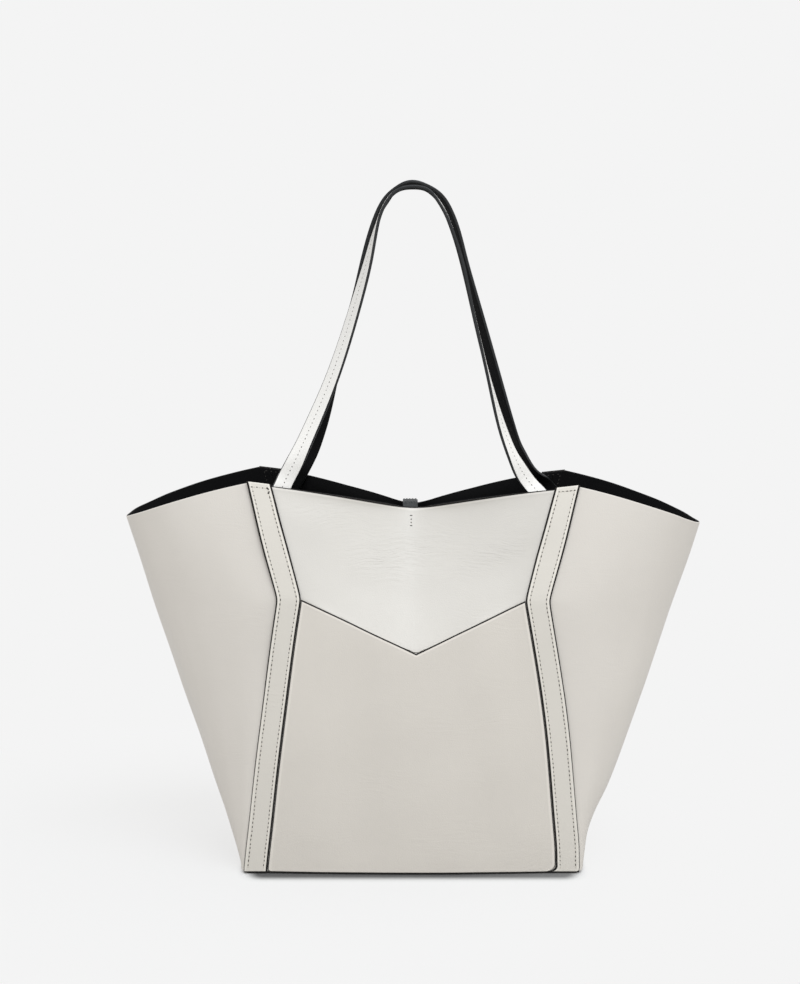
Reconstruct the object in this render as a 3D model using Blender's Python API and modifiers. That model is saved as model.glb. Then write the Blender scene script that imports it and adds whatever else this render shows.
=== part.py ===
"""Structured winged tote bag with two strap handles and a snap tab, at its real size.

Lengths are in metres. X runs across the bag, Y from its front to its back, and Z up. The origin is
on the floor under the middle of the bag.

The walls share one surface. A point on it has a girth, the distance walked round the bag from the
middle of the front, measured at the waist, and a height, measured on the vertical bands.
Each leather or lining piece is a patch of that surface, moved in or out by its place in the layers.
"""

import math

import bpy
import numpy as np

# Outline of the bag on its bands
BASE_HALF_WIDTH = 0.1381
WAIST_HALF_WIDTH = 0.1099
RIM_HALF_WIDTH = 0.1346
BASE_HALF_DEPTH = 0.0720
WAIST_HALF_DEPTH = 0.0800
RIM_HALF_DEPTH = 0.0660
WAIST_HEIGHT = 0.2300
BAND_TOP = 0.3215
BAND_WIDTH = 0.0195
BAND_BOW = 0.0032
BAND_TILT = 0.0023

# Front and back faces
POINT_DROP = 0.0455
RIM_DROP = 0.0222
MOUTH_HALF_GAP = 0.0150
VALLEY_SHARE = 0.06
RISE_CURVE_SHARE = 0.3

# Wings
WING_FOOT_HALF_WIDTH = 0.1448
WING_TIP_HALF_WIDTH = 0.2410
WING_TIP_DROP = 0.0345
WING_BULGE = 0.0018
WING_HALF_GIRTH = 0.1500
WING_DROP_CURVE_SHARE = 0.35
BASE_FULLNESS = 2.0
WAIST_FULLNESS = 2.0
RIM_FULLNESS = 4.0

# Creases
CREASE_SPREAD = 0.0030
WING_SPREAD = 0.0600
WING_SPREAD_SHARE = 0.5
FOOT_SPREAD = 0.0060
FOOT_STRAIGHT = 0.0020

# Layers of the wall
LEATHER = 0.0012
LINING = 0.0012
OVERLAY = 0.0009
BAND = 0.0018
GAP = 0.0003

# Base
BASE_PANEL = 0.0015
BASE_BOARD = 0.0020
BASE_LINING = 0.0012

# Handles
STRAP_WIDTH = 0.0140
STRAP_OUTER_PLY = 0.0013
STRAP_INNER_PLY = 0.0011
HANDLE_HALF_SPAN = 0.1020
HANDLE_SHIFT = 0.0037
HANDLE_SLANT = math.radians(29.0)
FRONT_HANDLE_RISE = 0.2473
BACK_HANDLE_RISE = 0.2520
HANDLE_TOP_GAP = 0.0040
STRAP_END_LENGTH = 0.0400
STRAP_END_STAND = 0.0060
STRAP_BEND_GAP = 0.0007
STRAP_END_ROWS = 5
STRAP_END_COLUMNS = 3
HINGE_STAND = 0.0010
FRONT_LEFT_SPAN_SHARES = (0.936, 0.814, 0.649, 0.444, 0.358, 0.304, 0.266, 0.215, 0.120)
BACK_RIGHT_SPAN_SHARES = (0.887, 0.802, 0.698, 0.513, 0.425, 0.374, 0.308, 0.216, 0.108)
STEEP_LEG_SPAN_SHARES = (0.825, 0.728, 0.624, 0.465, 0.392, 0.324, 0.275, 0.201, 0.108)
HANDLE_RISE_SHARES = (0.090, 0.194, 0.350, 0.616, 0.760, 0.850, 0.908, 0.962, 0.992)
WIDE_LEG_TWIST_DEGREES = (6.0, 30.0, 50.0, 60.0, 69.0, 79.0, 85.0, 88.0, 90.0)
STEEP_LEG_TWIST_DEGREES = (42.0, 67.0, 83.0, 90.0, 92.0, 92.0, 91.0, 90.0, 90.0)
HANDLE_STEPS = 3
ACROSS_SHARES = (-1.0, 0.0, 1.0)

# Closing tab and its snap
TAB_WIDTH = 0.0125
TAB_THICKNESS = 0.0015
TAB_END_LENGTH = 0.0240
TAB_STAND = 0.0010
TAB_BEND = 0.0018
TAB_BEND_STEPS = 4
TAB_MARGIN = 0.0020
BACK_TAB_DROP = 0.0225
SNAP_Y = 0.0010
SNAP_RADIUS = 0.0052
SNAP_SOCKET = 0.0014
SNAP_CAP = 0.0012
SNAP_PIN_RADIUS = 0.0018
SNAP_BORE_RADIUS = 0.0022
SNAP_SIDES = 24

# Places along the girth and the height where the patches have their points
FACE_SHARES = (0.0, 0.12, 0.3, 0.5, 0.7, 0.87)
WING_SHARES = (0.08, 0.18, 0.3, 0.42, 0.55, 0.68, 0.8, 0.9, 1.0)
LOWER_SHARES = (0.05, 0.16, 0.32, 0.48, 0.64, 0.8, 0.92)
UPPER_SHARES = (0.25, 0.5, 0.75)
STEP = 0.0002
COLLECTION = "tote_bag"

BASE_BOW = WAIST_HALF_DEPTH - BASE_HALF_DEPTH
FACE_HALF_GIRTH = WAIST_HALF_WIDTH - BAND_WIDTH
BAND_OUTER_GIRTH = FACE_HALF_GIRTH + BAND_WIDTH
SEAM_GIRTH = FACE_HALF_GIRTH + BAND_WIDTH / 2
QUARTER_GIRTH = BAND_OUTER_GIRTH + WING_HALF_GIRTH
WALL_FOOT = BASE_PANEL + GAP
LINING_OUT = -GAP
INSIDE_OUT = LINING_OUT - LINING - GAP
OVERLAY_OUT = LEATHER + GAP + OVERLAY
BAND_OUT = LEATHER + GAP + BAND
BACK_TAB_LEVEL = BAND_TOP - BACK_TAB_DROP
STRAP_THICKNESS = STRAP_OUTER_PLY + GAP + STRAP_INNER_PLY
HANDLE_TOP_Y = -(STRAP_WIDTH + HANDLE_TOP_GAP) / 2


def clear_scene():
    for old in list(bpy.data.objects):
        bpy.data.objects.remove(old, do_unlink=True)


def new_material(name, colour, roughness, metallic=0.0):
    material = bpy.data.materials.new(name)
    material.use_nodes = True
    shader = material.node_tree.nodes["Principled BSDF"]
    shader.inputs["Base Color"].default_value = (*colour, 1.0)
    shader.inputs["Roughness"].default_value = roughness
    shader.inputs["Metallic"].default_value = metallic
    return material


def ramp(distance, spread):
    """A straight ramp that starts at zero, its corner rounded over the spread."""
    return (distance + np.sqrt(distance**2 + spread**2)) / 2


def between(base, waist, rim, height, spread):
    """A value that runs straight from base to waist to rim, rounded at the waist."""
    lower = (waist - base) / WAIST_HEIGHT
    upper = (rim - waist) / (BAND_TOP - WAIST_HEIGHT)
    return base + lower * height + (upper - lower) * ramp(height - WAIST_HEIGHT, spread)


def leaning(height):
    """The height up the slopes of the wall, which stands upright where it meets the base."""
    above = np.maximum(height - WALL_FOOT, 0)
    return height * (1 - np.exp(-((above / FOOT_SPREAD) ** 2)))


def rim_rise(share):
    """How far the rim has risen from the valley in the middle, 0, to the band, 1."""
    rounded = np.sqrt(share**2 + VALLEY_SHARE**2) - VALLEY_SHARE
    even = rounded / (math.sqrt(1 + VALLEY_SHARE**2) - VALLEY_SHARE)
    return even * (1 + RISE_CURVE_SHARE) - even**2 * RISE_CURVE_SHARE


def wall(girth, height):
    """Points of the wall: flat faces that lean in above a pointed crease, and rounded wings."""
    girth, height = np.broadcast_arrays(np.asarray(girth, float), np.asarray(height, float))
    turn = np.pi * girth / (2 * QUARTER_GIRTH)
    reach = np.abs((girth + 2 * QUARTER_GIRTH) % (4 * QUARTER_GIRTH) - 2 * QUARTER_GIRTH)
    along = QUARTER_GIRTH - np.abs(QUARTER_GIRTH - reach)
    face = np.clip(along / FACE_HALF_GIRTH, 0, 1)
    band = np.clip((along - FACE_HALF_GIRTH) / BAND_WIDTH, 0, 1)
    wing = np.clip((along - BAND_OUTER_GIRTH) / WING_HALF_GIRTH, 0, 1)
    spread = CREASE_SPREAD + WING_SPREAD * np.clip(wing / WING_SPREAD_SHARE, 0, 1) ** 2

    lean = leaning(height)
    fullness = between(BASE_FULLNESS, WAIST_FULLNESS, RIM_FULLNESS, lean, spread)
    outward = 1 - (1 - wing) ** 2
    forward = np.sqrt(1 - outward**fullness)

    rise = rim_rise(face)
    share = lean / BAND_TOP
    tip_x = WING_FOOT_HALF_WIDTH + (WING_TIP_HALF_WIDTH - WING_FOOT_HALF_WIDTH) * share
    tip_x = tip_x + WING_BULGE * 4 * share * (1 - share)
    band_x = between(BASE_HALF_WIDTH, WAIST_HALF_WIDTH, RIM_HALF_WIDTH, lean, spread)
    waist_share = np.clip(lean / WAIST_HEIGHT, 0, 1)
    band_x = band_x + BAND_BOW * 4 * waist_share * (1 - waist_share)
    band_y = between(BASE_HALF_DEPTH, WAIST_HALF_DEPTH, RIM_HALF_DEPTH, lean, spread)
    mouth_inset = (RIM_HALF_DEPTH - MOUTH_HALF_GAP) * (1 - rise)
    inset = between(-BASE_BOW * (1 - face**2), 0, mouth_inset, lean, spread)
    rim_drop = RIM_DROP * (1 - rise) + BAND_TILT * (1 - band)
    drop = between(0, POINT_DROP * (1 - face), rim_drop, lean, spread)
    wing_drop = WING_TIP_DROP * outward * (1 - WING_DROP_CURVE_SHARE * (1 - outward))

    x = (band_x - BAND_WIDTH) * face + BAND_WIDTH * band + (tip_x - band_x) * outward
    y = band_y * forward - inset
    z = height - drop - wing_drop * share
    return np.stack([x * np.sign(np.sin(turn)), -y * np.sign(np.cos(turn)), z], axis=-1)


def outward_normal(girth, height):
    """Unit vectors out of the wall."""
    round_way = wall(girth + STEP, height) - wall(girth - STEP, height)
    up_way = wall(girth, height + STEP) - wall(girth, height - STEP)
    normal = np.cross(round_way, up_way)
    return normal / np.linalg.norm(normal, axis=-1, keepdims=True)


def layer(girth, height, out):
    """Points of the wall moved out of it by a distance, or in where the distance is negative."""
    return wall(girth, height) + out * outward_normal(girth, height)


def add_object(name, mesh, material):
    item = bpy.data.objects.new(name, mesh)
    mesh.materials.append(material)
    bpy.data.collections[COLLECTION].objects.link(item)
    return item


def add_thickness(item, thickness, offset=-1.0):
    solidify = item.modifiers.new("thickness", "SOLIDIFY")
    solidify.thickness = thickness
    solidify.offset = offset
    solidify.use_rim = True


def grid_piece(name, points, thickness, material):
    """A closed piece: a grid of points, rows by columns, that is its outer face, given thickness."""
    rows, columns = points.shape[:2]
    index = np.arange(rows * columns).reshape(rows, columns)
    a, b = index[:-1, :-1].ravel(), index[:-1, 1:].ravel()
    c, d = index[1:, 1:].ravel(), index[1:, :-1].ravel()
    faces = np.concatenate([np.stack([a, b, c], 1), np.stack([a, c, d], 1)])
    mesh = bpy.data.meshes.new(name)
    mesh.from_pydata(points.reshape(-1, 3).tolist(), [], faces.tolist())
    mesh.shade_smooth()
    item = add_object(name, mesh, material)
    add_thickness(item, thickness)
    return item


def patch(name, girths, heights, out, thickness, material):
    """A piece of the wall between these girths and heights, its outer face at this distance."""
    girth, height = np.meshgrid(np.asarray(girths), np.asarray(heights))
    return grid_piece(name, layer(girth, height, out), thickness, material)


def face_girths(limit):
    """Places across a face and half of each band, up to a limit each way."""
    half = [share * FACE_HALF_GIRTH for share in FACE_SHARES]
    half += [place for place in (FACE_HALF_GIRTH,) if place < limit]
    half += [limit]
    return [-place for place in reversed(half[1:])] + half


def wing_girths(start):
    """Places round the right wing, from one seam to the other."""
    half = [start, BAND_OUTER_GIRTH]
    half += [BAND_OUTER_GIRTH + share * WING_HALF_GIRTH for share in WING_SHARES]
    return half + [2 * QUARTER_GIRTH - place for place in reversed(half[:-1])]


def lower_heights(top):
    places = [WALL_FOOT, WALL_FOOT + FOOT_STRAIGHT]
    places += [share * WAIST_HEIGHT for share in LOWER_SHARES]
    return places + [WAIST_HEIGHT - CREASE_SPREAD, top]


def all_heights():
    upper = BAND_TOP - WAIST_HEIGHT
    places = lower_heights(WAIST_HEIGHT) + [WAIST_HEIGHT + CREASE_SPREAD]
    return places + [WAIST_HEIGHT + share * upper for share in UPPER_SHARES] + [BAND_TOP]


def add_walls(leather, lining):
    """Both faces, both wings, their linings, the pointed overlays and the four bands."""
    heights = all_heights()
    half_turn = 2 * QUARTER_GIRTH
    for face, start in (("front", 0.0), ("back", half_turn)):
        seam = [start + place for place in face_girths(SEAM_GIRTH - GAP / 2)]
        patch(face + "_main_panel", seam, heights, LEATHER, LEATHER, leather)
        patch(face + "_lining", seam, heights, LINING_OUT, LINING, lining)
        inside = [start + place for place in face_girths(FACE_HALF_GIRTH - GAP)]
        lower = lower_heights(WAIST_HEIGHT - GAP)
        patch(face + "_overlay_panel", inside, lower, OVERLAY_OUT, OVERLAY, leather)
        for side, way in (("left", -1), ("right", 1)):
            hand = way if face == "front" else -way
            edges = sorted(hand * place for place in (FACE_HALF_GIRTH, SEAM_GIRTH, BAND_OUTER_GIRTH))
            girths = [start + place for place in edges]
            patch(f"{face}_{side}_band", girths, heights, BAND_OUT, BAND, leather)
    for side, start in (("right", 0.0), ("left", half_turn)):
        girths = [start + place for place in wing_girths(SEAM_GIRTH + GAP / 2)]
        patch(side + "_wing", girths, heights, LEATHER, LEATHER, leather)
        patch(side + "_wing_lining", girths, heights, LINING_OUT, LINING, lining)


def flat_piece(name, out, low, thickness, material):
    """A level sheet inside the outline of the wall's foot, moved out by a distance."""
    places = face_girths(BAND_OUTER_GIRTH)[1:] + wing_girths(BAND_OUTER_GIRTH)[2:-1]
    girths = np.array(places + [2 * QUARTER_GIRTH + place for place in places])
    outline = layer(girths, WALL_FOOT, out)
    outline[:, 2] = low + thickness
    mesh = bpy.data.meshes.new(name)
    mesh.from_pydata(outline.tolist(), [], [list(range(len(outline)))])
    item = add_object(name, mesh, material)
    add_thickness(item, thickness)
    return item


def add_base(leather, lining, board):
    """The outer base, the stiff board on it and the lining over the board."""
    flat_piece("base_panel", BAND_OUT, 0.0, BASE_PANEL, leather)
    board_low = BASE_PANEL + GAP
    flat_piece("base_board", INSIDE_OUT, board_low, BASE_BOARD, board)
    flat_piece("base_lining", INSIDE_OUT, board_low + BASE_BOARD + GAP, BASE_LINING, lining)


def smooth_path(points, steps):
    """A curve through the points, each stretch a cubic that leaves and meets its neighbours evenly."""
    points = np.asarray(points, float)
    before = 2 * points[0] - points[1]
    after = 2 * points[-1] - points[-2]
    padded = np.vstack([before, points, after])
    share = np.linspace(0, 1, steps, endpoint=False)[:, None]
    runs = []
    for start in range(len(points) - 1):
        p0, p1, p2, p3 = padded[start : start + 4]
        bend = 2 * p0 - 5 * p1 + 4 * p2 - p3
        sweep = 3 * p1 - p0 - 3 * p2 + p3
        runs.append((2 * p1 + (p2 - p0) * share + bend * share**2 + sweep * share**3) / 2)
    return np.vstack(runs + [points[-1:]])


def face_girth_at(x, height):
    """The girth on the front face at this distance from the middle."""
    band_x = between(BASE_HALF_WIDTH, WAIST_HALF_WIDTH, RIM_HALF_WIDTH, height, CREASE_SPREAD)
    half = band_x - BAND_WIDTH
    inside = x / half * FACE_HALF_GIRTH
    beyond = np.sign(x) * (FACE_HALF_GIRTH + np.abs(x) - half)
    return np.where(np.abs(x) < half, inside, beyond)


def on_strap_line(side, along, across, out):
    """Points on the line of a strap inside the front face: along it from the rim, and across it."""
    slant_x, slant_up = math.sin(HANDLE_SLANT), math.cos(HANDLE_SLANT)
    x = side * (HANDLE_HALF_SPAN - slant_x * along) - HANDLE_SHIFT + slant_up * across
    height = BAND_TOP + slant_up * along + side * slant_x * across
    return layer(face_girth_at(x, height), height, out)


def handle_leg(side, rise, spans, twists):
    """Middle points and width directions of one leg of a handle, from its foot up."""
    low = STRAP_END_STAND + STRAP_BEND_GAP
    along = np.array([low, low + STRAP_END_STAND])
    middle_out = INSIDE_OUT - STRAP_THICKNESS / 2
    middle = on_strap_line(side, along, np.zeros(2), middle_out)
    inner_edge = on_strap_line(side, along, np.full(2, -side * STRAP_WIDTH / 2), middle_out)
    width = inner_edge - middle
    width /= np.linalg.norm(width, axis=1, keepdims=True)
    height = np.array(HANDLE_RISE_SHARES)
    rim_y, rim_z = on_strap_line(side, 0.0, 0.0, INSIDE_OUT)[1:]
    x = side * HANDLE_HALF_SPAN * np.array(spans)
    y = rim_y + (HANDLE_TOP_Y - rim_y) * height
    z = rim_z + rise * height
    angle = np.radians(twists)
    turns = np.stack([-side * np.cos(angle), -np.sin(angle), np.zeros(len(angle))], 1)
    return np.vstack([middle, np.stack([x, y, z], 1)]), np.vstack([width, turns])


def handle_line(rise, wide_spans):
    """Middle line and width directions of a handle over the front rim, from left to right."""
    left, left_width = handle_leg(-1, rise, wide_spans, WIDE_LEG_TWIST_DEGREES)
    right, right_width = handle_leg(1, rise, STEEP_LEG_SPAN_SHARES, STEEP_LEG_TWIST_DEGREES)
    top = [0.0, HANDLE_TOP_Y, on_strap_line(1, 0.0, 0.0, INSIDE_OUT)[2] + rise]
    middle = np.vstack([left, top, right[::-1]])
    width = np.vstack([left_width, [0.0, -1.0, 0.0], right_width[::-1]])
    return smooth_path(middle, HANDLE_STEPS), smooth_path(width, HANDLE_STEPS)


def ribbon(middle, width, half_width, out):
    """Grid of points across a strap or strip, moved off its middle layer towards its outer side."""
    along = np.gradient(middle, axis=0)
    along /= np.linalg.norm(along, axis=1, keepdims=True)
    width = width - along * np.sum(width * along, axis=1, keepdims=True)
    width /= np.linalg.norm(width, axis=1, keepdims=True)
    outer = np.cross(width, along)
    across = np.array(ACROSS_SHARES)[None, :, None] * half_width
    return middle[:, None] + width[:, None] * across + outer[:, None] * out


def loop_sheet(middle, width, depth):
    """Grid of points for a ply of the front loop, its outer face this deep in the strap."""
    sheet = ribbon(middle, width, STRAP_WIDTH / 2, STRAP_THICKNESS / 2 - depth)
    for row, side in ((0, -1), (-1, 1)):
        across = -side * np.array(ACROSS_SHARES) * STRAP_WIDTH / 2
        sheet[row] = on_strap_line(side, STRAP_END_STAND + STRAP_BEND_GAP, across, INSIDE_OUT - depth)
    return sheet


def hang_on(items, name, pivot):
    """Hangs moving pieces on an empty that stands on their hinge line."""
    empty = bpy.data.objects.new(name, None)
    empty.location = pivot
    bpy.data.collections[COLLECTION].objects.link(empty)
    for item in items:
        item.location -= empty.location
        item.parent = empty


def add_handle(face, way, rise, wide_spans, leather, lining):
    """One strap: its loop in two plies, and its two sewn ends inside the rim."""
    turn = np.array([way, way, 1.0])
    middle, width = handle_line(rise, wide_spans)
    outer = loop_sheet(middle, width, 0.0) * turn
    inner = loop_sheet(middle, width, STRAP_OUTER_PLY + GAP) * turn
    loop = [
        grid_piece(face + "_handle_strap", outer, STRAP_OUTER_PLY, leather),
        grid_piece(face + "_handle_strap_lining", inner, STRAP_INNER_PLY, lining),
    ]
    hinge = on_strap_line(1, 0.0, 0.0, LEATHER + HINGE_STAND) * turn
    hang_on(loop, face + "_handle_pivot", (0.0, hinge[1], hinge[2] + HINGE_STAND))
    along, across = np.meshgrid(
        np.linspace(-STRAP_END_LENGTH, STRAP_END_STAND, STRAP_END_ROWS),
        np.linspace(-STRAP_WIDTH / 2, STRAP_WIDTH / 2, STRAP_END_COLUMNS),
        indexing="ij",
    )
    for side in (-1, 1):
        end = on_strap_line(side, along, across, INSIDE_OUT) * turn
        name = f"{face}_handle_{'right' if side * way > 0 else 'left'}_end"
        grid_piece(name, end, STRAP_THICKNESS, leather)


def tab_strip(name, line, way, material):
    """A strip of tab as wide as the tab, from its middle line on the front of the mouth."""
    width = np.tile([1.0, 0.0, 0.0], (len(line), 1))
    points = ribbon(line, width, TAB_WIDTH / 2, TAB_THICKNESS / 2) * np.array([way, way, 1.0])
    return grid_piece(name, points, TAB_THICKNESS, material)


def sewn_tab_line(top):
    """Middle line of a tab's sewn end, up inside the face to a little above the rim."""
    foot = wall(0.0, BAND_TOP) + outward_normal(0.0, BAND_TOP) * (INSIDE_OUT - TAB_THICKNESS / 2)
    along = np.linspace(-TAB_END_LENGTH, top, TAB_BEND_STEPS)[:, None]
    return foot + up_the_middle() * along


def bent_tab_line(start, level, end_y):
    """Middle line of a tab's free part: up out of the mouth, round a bend, then level to its end."""
    foot = sewn_tab_line(start)[-1]
    up = up_the_middle()
    corner = foot + up * (level - foot[2]) / up[2]
    before = corner - up * TAB_BEND
    after = corner + np.array([0.0, TAB_BEND, 0.0])
    share = np.linspace(0, 1, TAB_BEND_STEPS)[:, None]
    bend = before * (1 - share) ** 2 + corner * 2 * share * (1 - share) + after * share**2
    return np.vstack([foot, bend, [0.0, end_y, level]])


def up_the_middle():
    """Direction up the middle of the front face at its rim."""
    up = wall(0.0, BAND_TOP) - wall(0.0, BAND_TOP - STEP)
    return up / np.linalg.norm(up)


def turned_piece(name, profile, closed, centre, material):
    """A turned piece: its profile is radius and level pairs, spun about an upright line."""
    mesh = bpy.data.meshes.new(name)
    count = len(profile)
    edges = [(i, (i + 1) % count) for i in range(count if closed else count - 1)]
    mesh.from_pydata([(radius, 0.0, level) for radius, level in profile], edges, [])
    item = add_object(name, mesh, material)
    item.location = centre
    screw = item.modifiers.new("turn", "SCREW")
    screw.steps = SNAP_SIDES
    screw.render_steps = SNAP_SIDES
    screw.use_merge_vertices = True
    screw.merge_threshold = GAP / 10
    return item


def add_tabs(leather, metal):
    """The closing tab: a front strip that lifts, a back strip under it, and the snap between."""
    socket_low = BACK_TAB_LEVEL + TAB_THICKNESS / 2 + GAP
    cap_low = socket_low + SNAP_SOCKET + GAP
    front_level = cap_low + SNAP_CAP + GAP + TAB_THICKNESS / 2
    tab_strip("front_tab_end", sewn_tab_line(TAB_STAND), 1, leather)
    tab_strip("back_tab_end", sewn_tab_line(0.0), -1, leather)
    snap_end = SNAP_RADIUS + TAB_MARGIN
    front_line = bent_tab_line(TAB_STAND + GAP, front_level, SNAP_Y + snap_end)
    front_tab = tab_strip("front_tab", front_line, 1, leather)
    tab_strip("back_tab", bent_tab_line(GAP, BACK_TAB_LEVEL, snap_end - SNAP_Y), -1, leather)

    centre = (0.0, SNAP_Y, 0.0)
    socket_top = socket_low + SNAP_SOCKET
    ring = (
        (SNAP_BORE_RADIUS, socket_top),
        (SNAP_RADIUS, socket_top),
        (SNAP_RADIUS, socket_low),
        (SNAP_BORE_RADIUS, socket_low),
    )
    turned_piece("snap_socket", ring, True, centre, metal)
    cap_top = cap_low + SNAP_CAP
    stud = (
        (0.0, cap_top),
        (SNAP_RADIUS, cap_top),
        (SNAP_RADIUS, cap_low),
        (SNAP_PIN_RADIUS, cap_low),
        (SNAP_PIN_RADIUS, socket_low + GAP),
        (0.0, socket_low + GAP),
    )
    snap_stud = turned_piece("snap_stud", stud, False, centre, metal)
    hinge = layer(0.0, BAND_TOP, LEATHER + GAP)
    hang_on([front_tab, snap_stud], "front_tab_pivot", (0.0, hinge[1], hinge[2] + HINGE_STAND))


def main():
    clear_scene()
    bpy.context.scene.collection.children.link(bpy.data.collections.new(COLLECTION))
    leather = new_material("bone leather", (0.72, 0.70, 0.66), 0.42)
    lining = new_material("black backing", (0.008, 0.008, 0.009), 0.85)
    board = new_material("grey board", (0.28, 0.27, 0.25), 0.9)
    dark_leather = new_material("dark tab leather", (0.08, 0.085, 0.09), 0.5)
    metal = new_material("snap metal", (0.55, 0.55, 0.56), 0.3, 1.0)
    add_walls(leather, lining)
    add_base(leather, lining, board)
    add_handle("front", 1, FRONT_HANDLE_RISE, FRONT_LEFT_SPAN_SHARES, leather, lining)
    add_handle("back", -1, BACK_HANDLE_RISE, BACK_RIGHT_SPAN_SHARES, leather, lining)
    add_tabs(dark_leather, metal)


main()
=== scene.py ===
# %% [markdown]
# # A structured tote bag
#
# The bag is bone leather lined with black backing: two faces that lean in above a pointed crease,
# two flared wings, four upright bands with painted edges, and two strap handles. It could be
# shaped by hand in edit mode, but every leather piece here lies on the same walls. So one formula
# gives the walls, and each piece is a patch of them, moved in or out by its place in the layers.
# The plain solids of the bag are loaded first, because the pieces made here ride on their bodies,
# except those that cross a joint, and stay inside their box.

# %% Load the frame
import math

import bpy
import numpy as np
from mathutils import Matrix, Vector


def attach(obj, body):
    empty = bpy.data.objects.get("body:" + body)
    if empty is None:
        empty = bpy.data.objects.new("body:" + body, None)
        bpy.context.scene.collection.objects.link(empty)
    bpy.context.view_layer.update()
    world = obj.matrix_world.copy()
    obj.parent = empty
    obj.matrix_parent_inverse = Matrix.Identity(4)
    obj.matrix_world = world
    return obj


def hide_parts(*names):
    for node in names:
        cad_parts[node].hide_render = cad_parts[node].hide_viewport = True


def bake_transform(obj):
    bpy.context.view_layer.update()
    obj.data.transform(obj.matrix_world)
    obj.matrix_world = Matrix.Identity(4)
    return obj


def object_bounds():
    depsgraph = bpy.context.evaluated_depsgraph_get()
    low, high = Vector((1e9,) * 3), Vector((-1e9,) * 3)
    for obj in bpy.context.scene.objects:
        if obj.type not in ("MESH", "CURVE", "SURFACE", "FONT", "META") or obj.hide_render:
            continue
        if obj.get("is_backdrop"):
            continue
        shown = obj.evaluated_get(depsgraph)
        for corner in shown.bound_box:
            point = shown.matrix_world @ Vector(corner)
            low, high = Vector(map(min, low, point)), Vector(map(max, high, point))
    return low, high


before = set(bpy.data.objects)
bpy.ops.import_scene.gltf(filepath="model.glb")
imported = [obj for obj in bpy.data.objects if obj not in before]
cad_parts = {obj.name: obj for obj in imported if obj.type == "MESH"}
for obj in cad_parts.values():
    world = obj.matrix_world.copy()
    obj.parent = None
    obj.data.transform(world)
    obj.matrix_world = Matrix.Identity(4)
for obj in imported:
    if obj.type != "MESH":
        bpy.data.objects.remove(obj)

cad_low, cad_high = (tuple(corner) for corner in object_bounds())
print("solids reach from", np.round(cad_low, 4), "to", np.round(cad_high, 4))

# %% [markdown]
# ## The camera
#
# The view is level with the handles and looks a little down on the bag, from straight in front.
# The rims at the front and the back of the bag are alike, so the gap between them in the picture
# tells how far off and how high the camera stood. That gives the lens and the tilt below.

# %% Place the camera
PICTURE_HEIGHT = 984
FOCUS_PIXELS = 1830.0
SENSOR = 36.0
LOOK_DOWN = math.radians(6.55)
CAMERA_PLACE = (-0.0107, -1.539, 0.485)

camera = bpy.data.objects.new("camera", bpy.data.cameras.new("camera"))
camera.data.sensor_width = SENSOR
camera.data.lens = SENSOR * FOCUS_PIXELS / PICTURE_HEIGHT
camera.location = CAMERA_PLACE
camera.rotation_euler = (math.pi / 2 - LOOK_DOWN, 0.0, 0.0)
bpy.context.scene.collection.objects.link(camera)
bpy.context.scene.camera = camera
print("lens", round(camera.data.lens, 2), "mm")

# %% [markdown]
# ## The sizes of the walls
#
# These are the sizes of the cut and sewn bag. A place on the walls has a girth, the distance
# walked round from the middle of the front, measured at the waist, and a height, measured on the
# bands. The waist is the line where the faces fold and the bands have their kink.

# %% Sizes of the walls
BASE_HALF_WIDTH, WAIST_HALF_WIDTH, RIM_HALF_WIDTH = 0.1381, 0.1099, 0.1346
BASE_HALF_DEPTH, WAIST_HALF_DEPTH, RIM_HALF_DEPTH = 0.0720, 0.0800, 0.0660
WAIST_HEIGHT, BAND_TOP = 0.2300, 0.3215
BAND_WIDTH, BAND_BOW, BAND_TILT = 0.0195, 0.0032, 0.0023
BASE_BOW = (WAIST_HALF_DEPTH - BASE_HALF_DEPTH) / 2
POINT_DROP, RIM_DROP, MOUTH_HALF_GAP = 0.0455, 0.0222, 0.0150
VALLEY_SHARE, RISE_CURVE_SHARE = 0.06, 0.3
FOLD_SOFT_SHARE, POINT_SOFT_SHARE, SOFT_REACH = 0.60, 0.85, 0.011
WING_FOOT_HALF_WIDTH, WING_TIP_HALF_WIDTH = 0.1448, 0.2410
WING_TIP_DROP, WING_BULGE, WING_HALF_GIRTH, WING_DROP_CURVE_SHARE = 0.0345, 0.0018, 0.1500, 0.35
BASE_FULLNESS, WAIST_FULLNESS, RIM_FULLNESS = 2.0, 2.0, 4.0
CREASE_SPREAD, WING_SPREAD, WING_SPREAD_SHARE, FOOT_SPREAD = 0.0030, 0.0600, 0.5, 0.0060

LEATHER, LINING, OVERLAY, BAND, GAP = 0.0012, 0.0012, 0.0009, 0.0018, 0.0003
BASE_PANEL, BASE_BOARD, BASE_LINING = 0.0015, 0.0020, 0.0012

FACE_HALF_GIRTH = WAIST_HALF_WIDTH - BAND_WIDTH
BAND_OUTER_GIRTH = FACE_HALF_GIRTH + BAND_WIDTH
SEAM_GIRTH = FACE_HALF_GIRTH + BAND_WIDTH / 2
QUARTER_GIRTH = BAND_OUTER_GIRTH + WING_HALF_GIRTH
HALF_TURN = 2 * QUARTER_GIRTH
FACES = (("front", 0.0), ("back", HALF_TURN))
WINGS = (("right", 0.0), ("left", HALF_TURN))
WALL_FOOT = BASE_PANEL + GAP
LINING_OUT = -GAP
INSIDE_OUT = LINING_OUT - LINING - GAP
OVERLAY_OUT = LEATHER + GAP + OVERLAY
BAND_OUT = LEATHER + GAP + BAND
print("girth of the whole bag", round(2 * HALF_TURN * 1000), "mm")

# %% [markdown]
# ## How the leather has settled
#
# A bag that stands on a table is never as even as its pattern. The left rim of this one stands a
# little higher than the right, the point of the crease has slid to the right, and the right wing
# is pinched near its foot. Sculpting could do this on one piece at a time, and then the layers
# would cut through each other. So the settling goes into the wall formula, and all layers share it.
# Every hump below is written as a size, a middle and a reach.

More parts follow.
